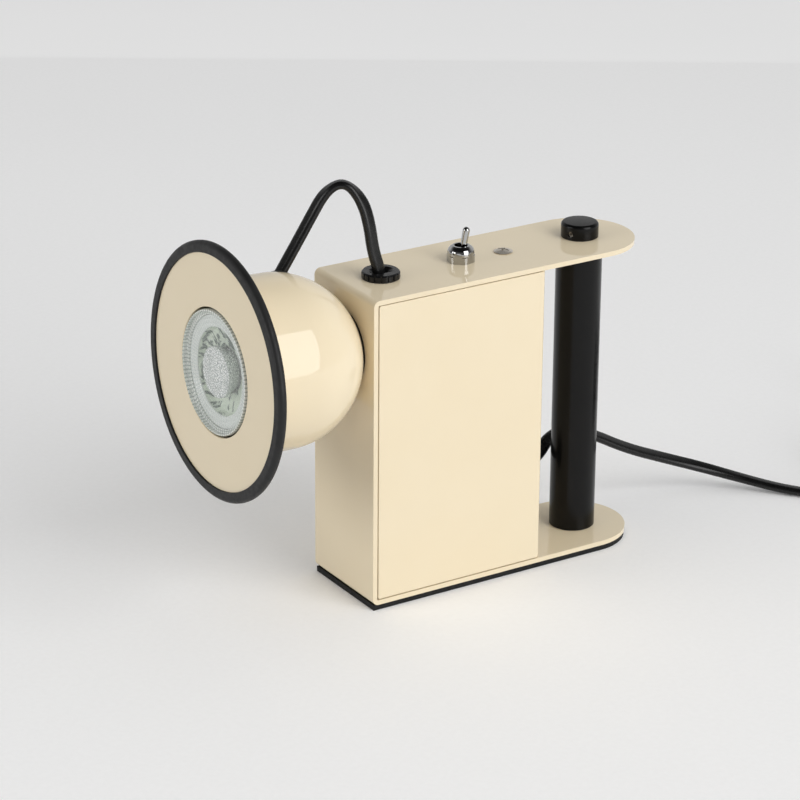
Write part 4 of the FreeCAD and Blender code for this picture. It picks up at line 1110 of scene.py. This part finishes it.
INLET = Vector((-0.4457, 0.345, 0.826)).normalized()
TO_INLET = Matrix.Translation(HEAD_CENTRE) @ INLET.to_track_quat("Z", "Y").to_matrix().to_4x4()


def make_dome():
    """Half a ball with a straight neck, one wall thick, and the inlet's bore."""
    inner = dome_radius - dome_wall
    profile = arc(0, dome_radius, -90, 0, 44)
    profile += [(dome_radius, z) for z in (8, 16, disc_back - 0.2)]
    profile += [(dome_radius - 0.2, disc_back), (inner, disc_back), (inner, 12)]
    profile += arc(0, inner, 0, -90, 36)
    dome = turned("dome_shell", profile, steps=144, closed=False)
    settle(dome, TO_HEAD)
    cut(dome, settle(drill(inlet_bore, 20, 40), TO_INLET))
    return smooth(dome, 30)


def make_face_disc():
    """The flat ring round the bulb."""
    bore = 25.7
    disc = turned("face_disc", [
        (bore, disc_back), (disc_radius, disc_back), (disc_radius, disc_front), (bore, disc_front),
    ], steps=192)
    round_edges(disc, 0.3, 3)
    return settle(disc, TO_HEAD)


def make_rim():
    """Rubber edging: a lip in front, a round outside, and a lip behind."""
    lip = 46.9
    profile = [(lip, disc_front), (lip, disc_front + 0.55), (lip + 0.2, disc_front + 0.8)]
    profile += arc(25.4, 1.8, 90, 0, 8, 49.7)
    profile += arc(25.2, 1.8, 0, -90, 8, 49.7)
    profile += [(lip + 0.3, disc_back - 1.5), (lip, disc_back - 1.2), (lip, disc_back)]
    profile += [(disc_radius, disc_back), (disc_radius, disc_front)]
    rim = turned("rim_rubber", profile, steps=192)
    return settle(smooth(rim, 40), TO_HEAD)


def make_inlet():
    """The grommet: a flange inside the dome's wall and a slimmer one with a round lip outside."""
    grommet = turned("inlet_grommet", [
        (2.35, 32.5), (4.8, 32.25), (5, 32.4), (5, 33.42), (inlet_bore, 33.61), (inlet_bore, 34.81),
        (4.3, 34.74), (4.3, 35.1), (4.0, 35.45), (3.2, 35.75), (2.6, 35.75), (2.35, 35.5),
    ], steps=64)
    return settle(smooth(grommet, 40), TO_INLET)


# ----------------------------------------------------------------------- bulb
def fluted(obj, count, low, high, inner, depth):
    """Pulls every other upright line of a turned rim inwards."""
    def in_groove(co):
        turn = math.degrees(math.atan2(co.y, co.x)) % 360
        number = round(turn / 360 * count)
        return low * MM < co.z < high * MM and co.xy.length > inner * MM and number % 2 == 0

    edit()
    pick_points(obj, in_groove)
    bpy.ops.transform.resize(value=(depth, depth, 1))
    done()
    return obj


def make_bulb_body():
    """The bulb's shell: a curved funnel from the fluted rim down to its base."""
    wall = 1.2
    profile = [(24.4, 26.9), (24.8, 26.85), (25, 26.6), (25, 24.5), (23.7, 23.3)]
    for i in range(1, 9):
        angle = math.pi / 2 * i / 8
        profile.append((11.5 + 12.2 * math.cos(angle), -9.17 + 32.47 * (1 - math.sin(angle))))
    inside = [(r - wall, z + 0.1) for r, z in profile[4:]]
    profile = profile + inside[::-1] + [(22.5, 25.1), (24.4, 25.1)]
    body = turned("bulb_glass_body", profile, steps=180)
    fluted(body, 180, 24.0, 26.95, 24.0, 0.988)
    return settle(smooth(body, 20), TO_HEAD)


def make_bulb_front():
    """Front glass: a raised rim, a dished band and a round window in the middle."""
    front = turned("bulb_front_glass", [
        (10.6, 24.6), (24.3, 24.6), (24.3, 26.3), (23.7, 26.85), (22.9, 26.8), (22.2, 26.3),
        (21.2, 26.05), (19.4, 25.85), (17.9, 25.8), (14, 25.75), (11.2, 25.75), (10.6, 25.95),
    ], steps=144)
    fluted(front, 144, 26.1, 27.0, 22.0, 0.982)
    return settle(smooth(front, 22), TO_HEAD)


def make_bulb_ring():
    """Milky band behind the front glass."""
    ring = turned("bulb_milky_ring", [
        (17.6, 24.0), (21.4, 24.3), (22.3, 24.5), (22.3, 24.2), (21.2, 23.8), (18.1, 22.6), (17.5, 22.8),
    ], steps=96)
    return settle(smooth(ring, 40), TO_HEAD)


def make_bulb_bowl():
    """Faceted bowl between the milky band and the board."""
    bowl = turned("bulb_facet_bowl", [
        (17.5, 23.6), (17.9, 23.4), (17.3, 21.4), (13.5, 20.0), (9.2, 19.6), (9.2, 19.1), (13.6, 19.4),
        (16.7, 20.9),
    ], steps=26)
    return settle(smooth(bowl, 5), TO_HEAD)


def make_bulb_optic():
    """Centre lens with a honeycomb face over a clear cone."""
    face = 9.2
    profile = [(0, 13.1), (4.6, 13.1), (5.0, 13.5), (9.9, 23.6), (10.3, 24.0), (10.3, 25.5)]
    profile += [(10.0, 25.85), (9.5, 25.9), (face, 25.75)]
    profile += [(r, 25.75 + 0.65 * (1 - (r / face) ** 2)) for r in (8, 6.5, 5, 3.5, 2)] + [(0, 26.4)]
    optic = turned("bulb_centre_lens", profile, steps=96, closed=False)
    return settle(smooth(optic, 35), TO_HEAD)


# ----------------------------------------------------------------------- plug
TO_PLUG = at(8.0, 258.4, 0, -90)


def make_plug():
    """Flat plug body with a waisted neck, and a ribbed strain relief."""
    neck = 22
    body = bar(-17.5, 17.5, -plug_length, -2 * neck, 0, 2 * plug_middle_z, "plug_moulding")
    edit()
    pick_faces(body, lambda normal: normal.y > 0.9)
    pull(y=neck)
    bpy.ops.transform.resize(value=(0.4, 1, 1))
    done()
    round_edges(body, 2.5, 5, 20, soft=40)
    profile = [(2.3, -8), (4.2, -8), (4.2, 0.5)]
    for i in range(7):
        z = 2.0 + 2.8 * i
        r = 4.2 - 1.2 * z / neck
        profile += [(r, z), (r - 0.55, z + 0.35), (r - 0.55, z + 0.9), (r - 0.1, z + 1.25)]
    profile += [(3.1, neck - 0.4), (2.9, neck), (2.3, neck)]
    relief = turned("relief", profile, steps=48)
    smooth(relief, 35)
    settle(relief, at(0, -neck, plug_middle_z, -90, "X"))
    joined(body, relief)
    return settle(body, TO_PLUG)


def make_plug_pins():
    """Two round pins with ball-shaped tips."""
    profile = [(0, -21)] + arc(-19, 2, -80, 0, 6) + [(2, 0), (0, 0)]
    pin = turned("plug_prongs", profile, steps=48, closed=False)
    smooth(pin, 40)
    pins = [copied(pin, TO_PLUG @ at(x, -plug_length, plug_middle_z, -90, "X")) for x in (-9.3, 9.3)]
    bpy.data.objects.remove(pin, do_unlink=True)
    pair = joined(*pins)
    pair.name = "plug_prongs"
    return pair


# -------------------------------------------------------------------- fitting
def fit(obj, finish, slot, body, *nodes):
    """The finished piece takes its nodes' place and rides on their body."""
    finish.on(obj)
    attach(obj, body)
    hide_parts(*nodes)
    return obj


set_camera()
set_floor()
set_world()
set_lights()

cream = cream_enamel()
rubber_pad = base_rubber()
rubber_rim = edge_rubber()
black = satin_black()
chrome = bright_chrome()
nickel = nickel_screw()
zinc = zinc_plate()
magnet = nickel_magnet()
plastic = moulded_black()
plug_black = plug_plastic()
vinyl = cord_vinyl()
brass = brass_plain()
pin_metal = pin_nickel()
glaze = glazed_white()
cores = core_vinyl()
shell_glass = bulb_shell_glass()
clear_glass = bulb_clear_glass()
milky = bulb_milky()
board = bulb_green_board()
honeycomb = bulb_honeycomb()

plug = fit(make_plug(), plug_black, "black_plastic", "body", "plug_body")
pins = fit(make_plug_pins(), pin_metal, "brass", "body", "plug_pins")
mains, mains_path = make_mains_cord()
fit(mains, vinyl, "cord_black", "body", "mains_cord", "cord_coil")

for piece, part, a, b in make_head_flex():
    vinyl.on(piece)
    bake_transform(piece)
    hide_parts("head_flex")

fit(make_strip(), cream, "cream_paint", "body", "body_strip")
fit(make_cover(), cream, "cream_paint", "body", "rear_cover")
fit(make_pad(), rubber_pad, "pad_rubber", "body", "base_pad")
fit(make_post(), black, "black_steel", "body", "handle_post")
fit(make_cap(), black, "black_steel", "body", "handle_cap")
fit(make_grub(), nickel, "black_steel", "body", "cap_grub_screw")
fit(make_cover_screws(), nickel, "zinc_steel", "body", "cover_screws")
fit(make_dress_nut(), chrome, "chrome", "body", "toggle_dress_nut")
fit(make_lever(), chrome, "chrome", "toggle", "toggle_lever")
top_bushing, rear_bushing = make_bushings()
fit(top_bushing, plastic, "black_plastic", "body", "top_gland")
fit(rear_bushing, plastic, "black_plastic", "body", "rear_gland")
fit(make_seat_collar(), plastic, "black_plastic", "seat", "seat_ring")
fit(make_dome(), cream, "cream_paint", "head", "dome")
fit(make_face_disc(), cream, "cream_paint", "head", "face_plate")
fit(make_rim(), rubber_rim, "rim_rubber", "head", "rim_ring")
fit(make_inlet(), rubber_rim, "rim_rubber", "head", "flex_inlet")
fit(make_bulb_body(), shell_glass, "bulb_shell", "head", "bulb_reflector")
fit(make_bulb_front(), clear_glass, "bulb_glass", "head", "bulb_lens")
fit(make_bulb_optic(), honeycomb, "bulb_white", "head", "bulb_optic")
for piece, finish in ((make_bulb_ring(), milky), (make_bulb_bowl(), board)):
    finish.on(piece)
    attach(piece, "head")

# the solids that show as they are, by finish
KEPT = (
    (zinc, ("handle_rod", "cover_nuts", "magnet_cup", "magnet_bridge", "magnet_nut", "holder_strap",
            "holder_screws", "block_screw", "toggle_lugs", "toggle_pivot_pin", "bulb_pins")),
    (magnet, ("magnet_disc",)),
    (chrome, ("toggle_bushing", "toggle_washer", "toggle_lock_nut")),
    (plastic, ("top_gland_nut", "rear_gland_nut", "toggle_body")),
    (board, ("bulb_led_board",)),
    (glaze, ("bulb_base", "lamp_holder", "terminal_block")),
    (brass, ("terminal_barrels", "terminal_screws")),
    (cores, ("supply_cores", "switch_cores", "holder_cores")),
)
for finish, names in KEPT:
    for name in names:
        finish.on(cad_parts[name])
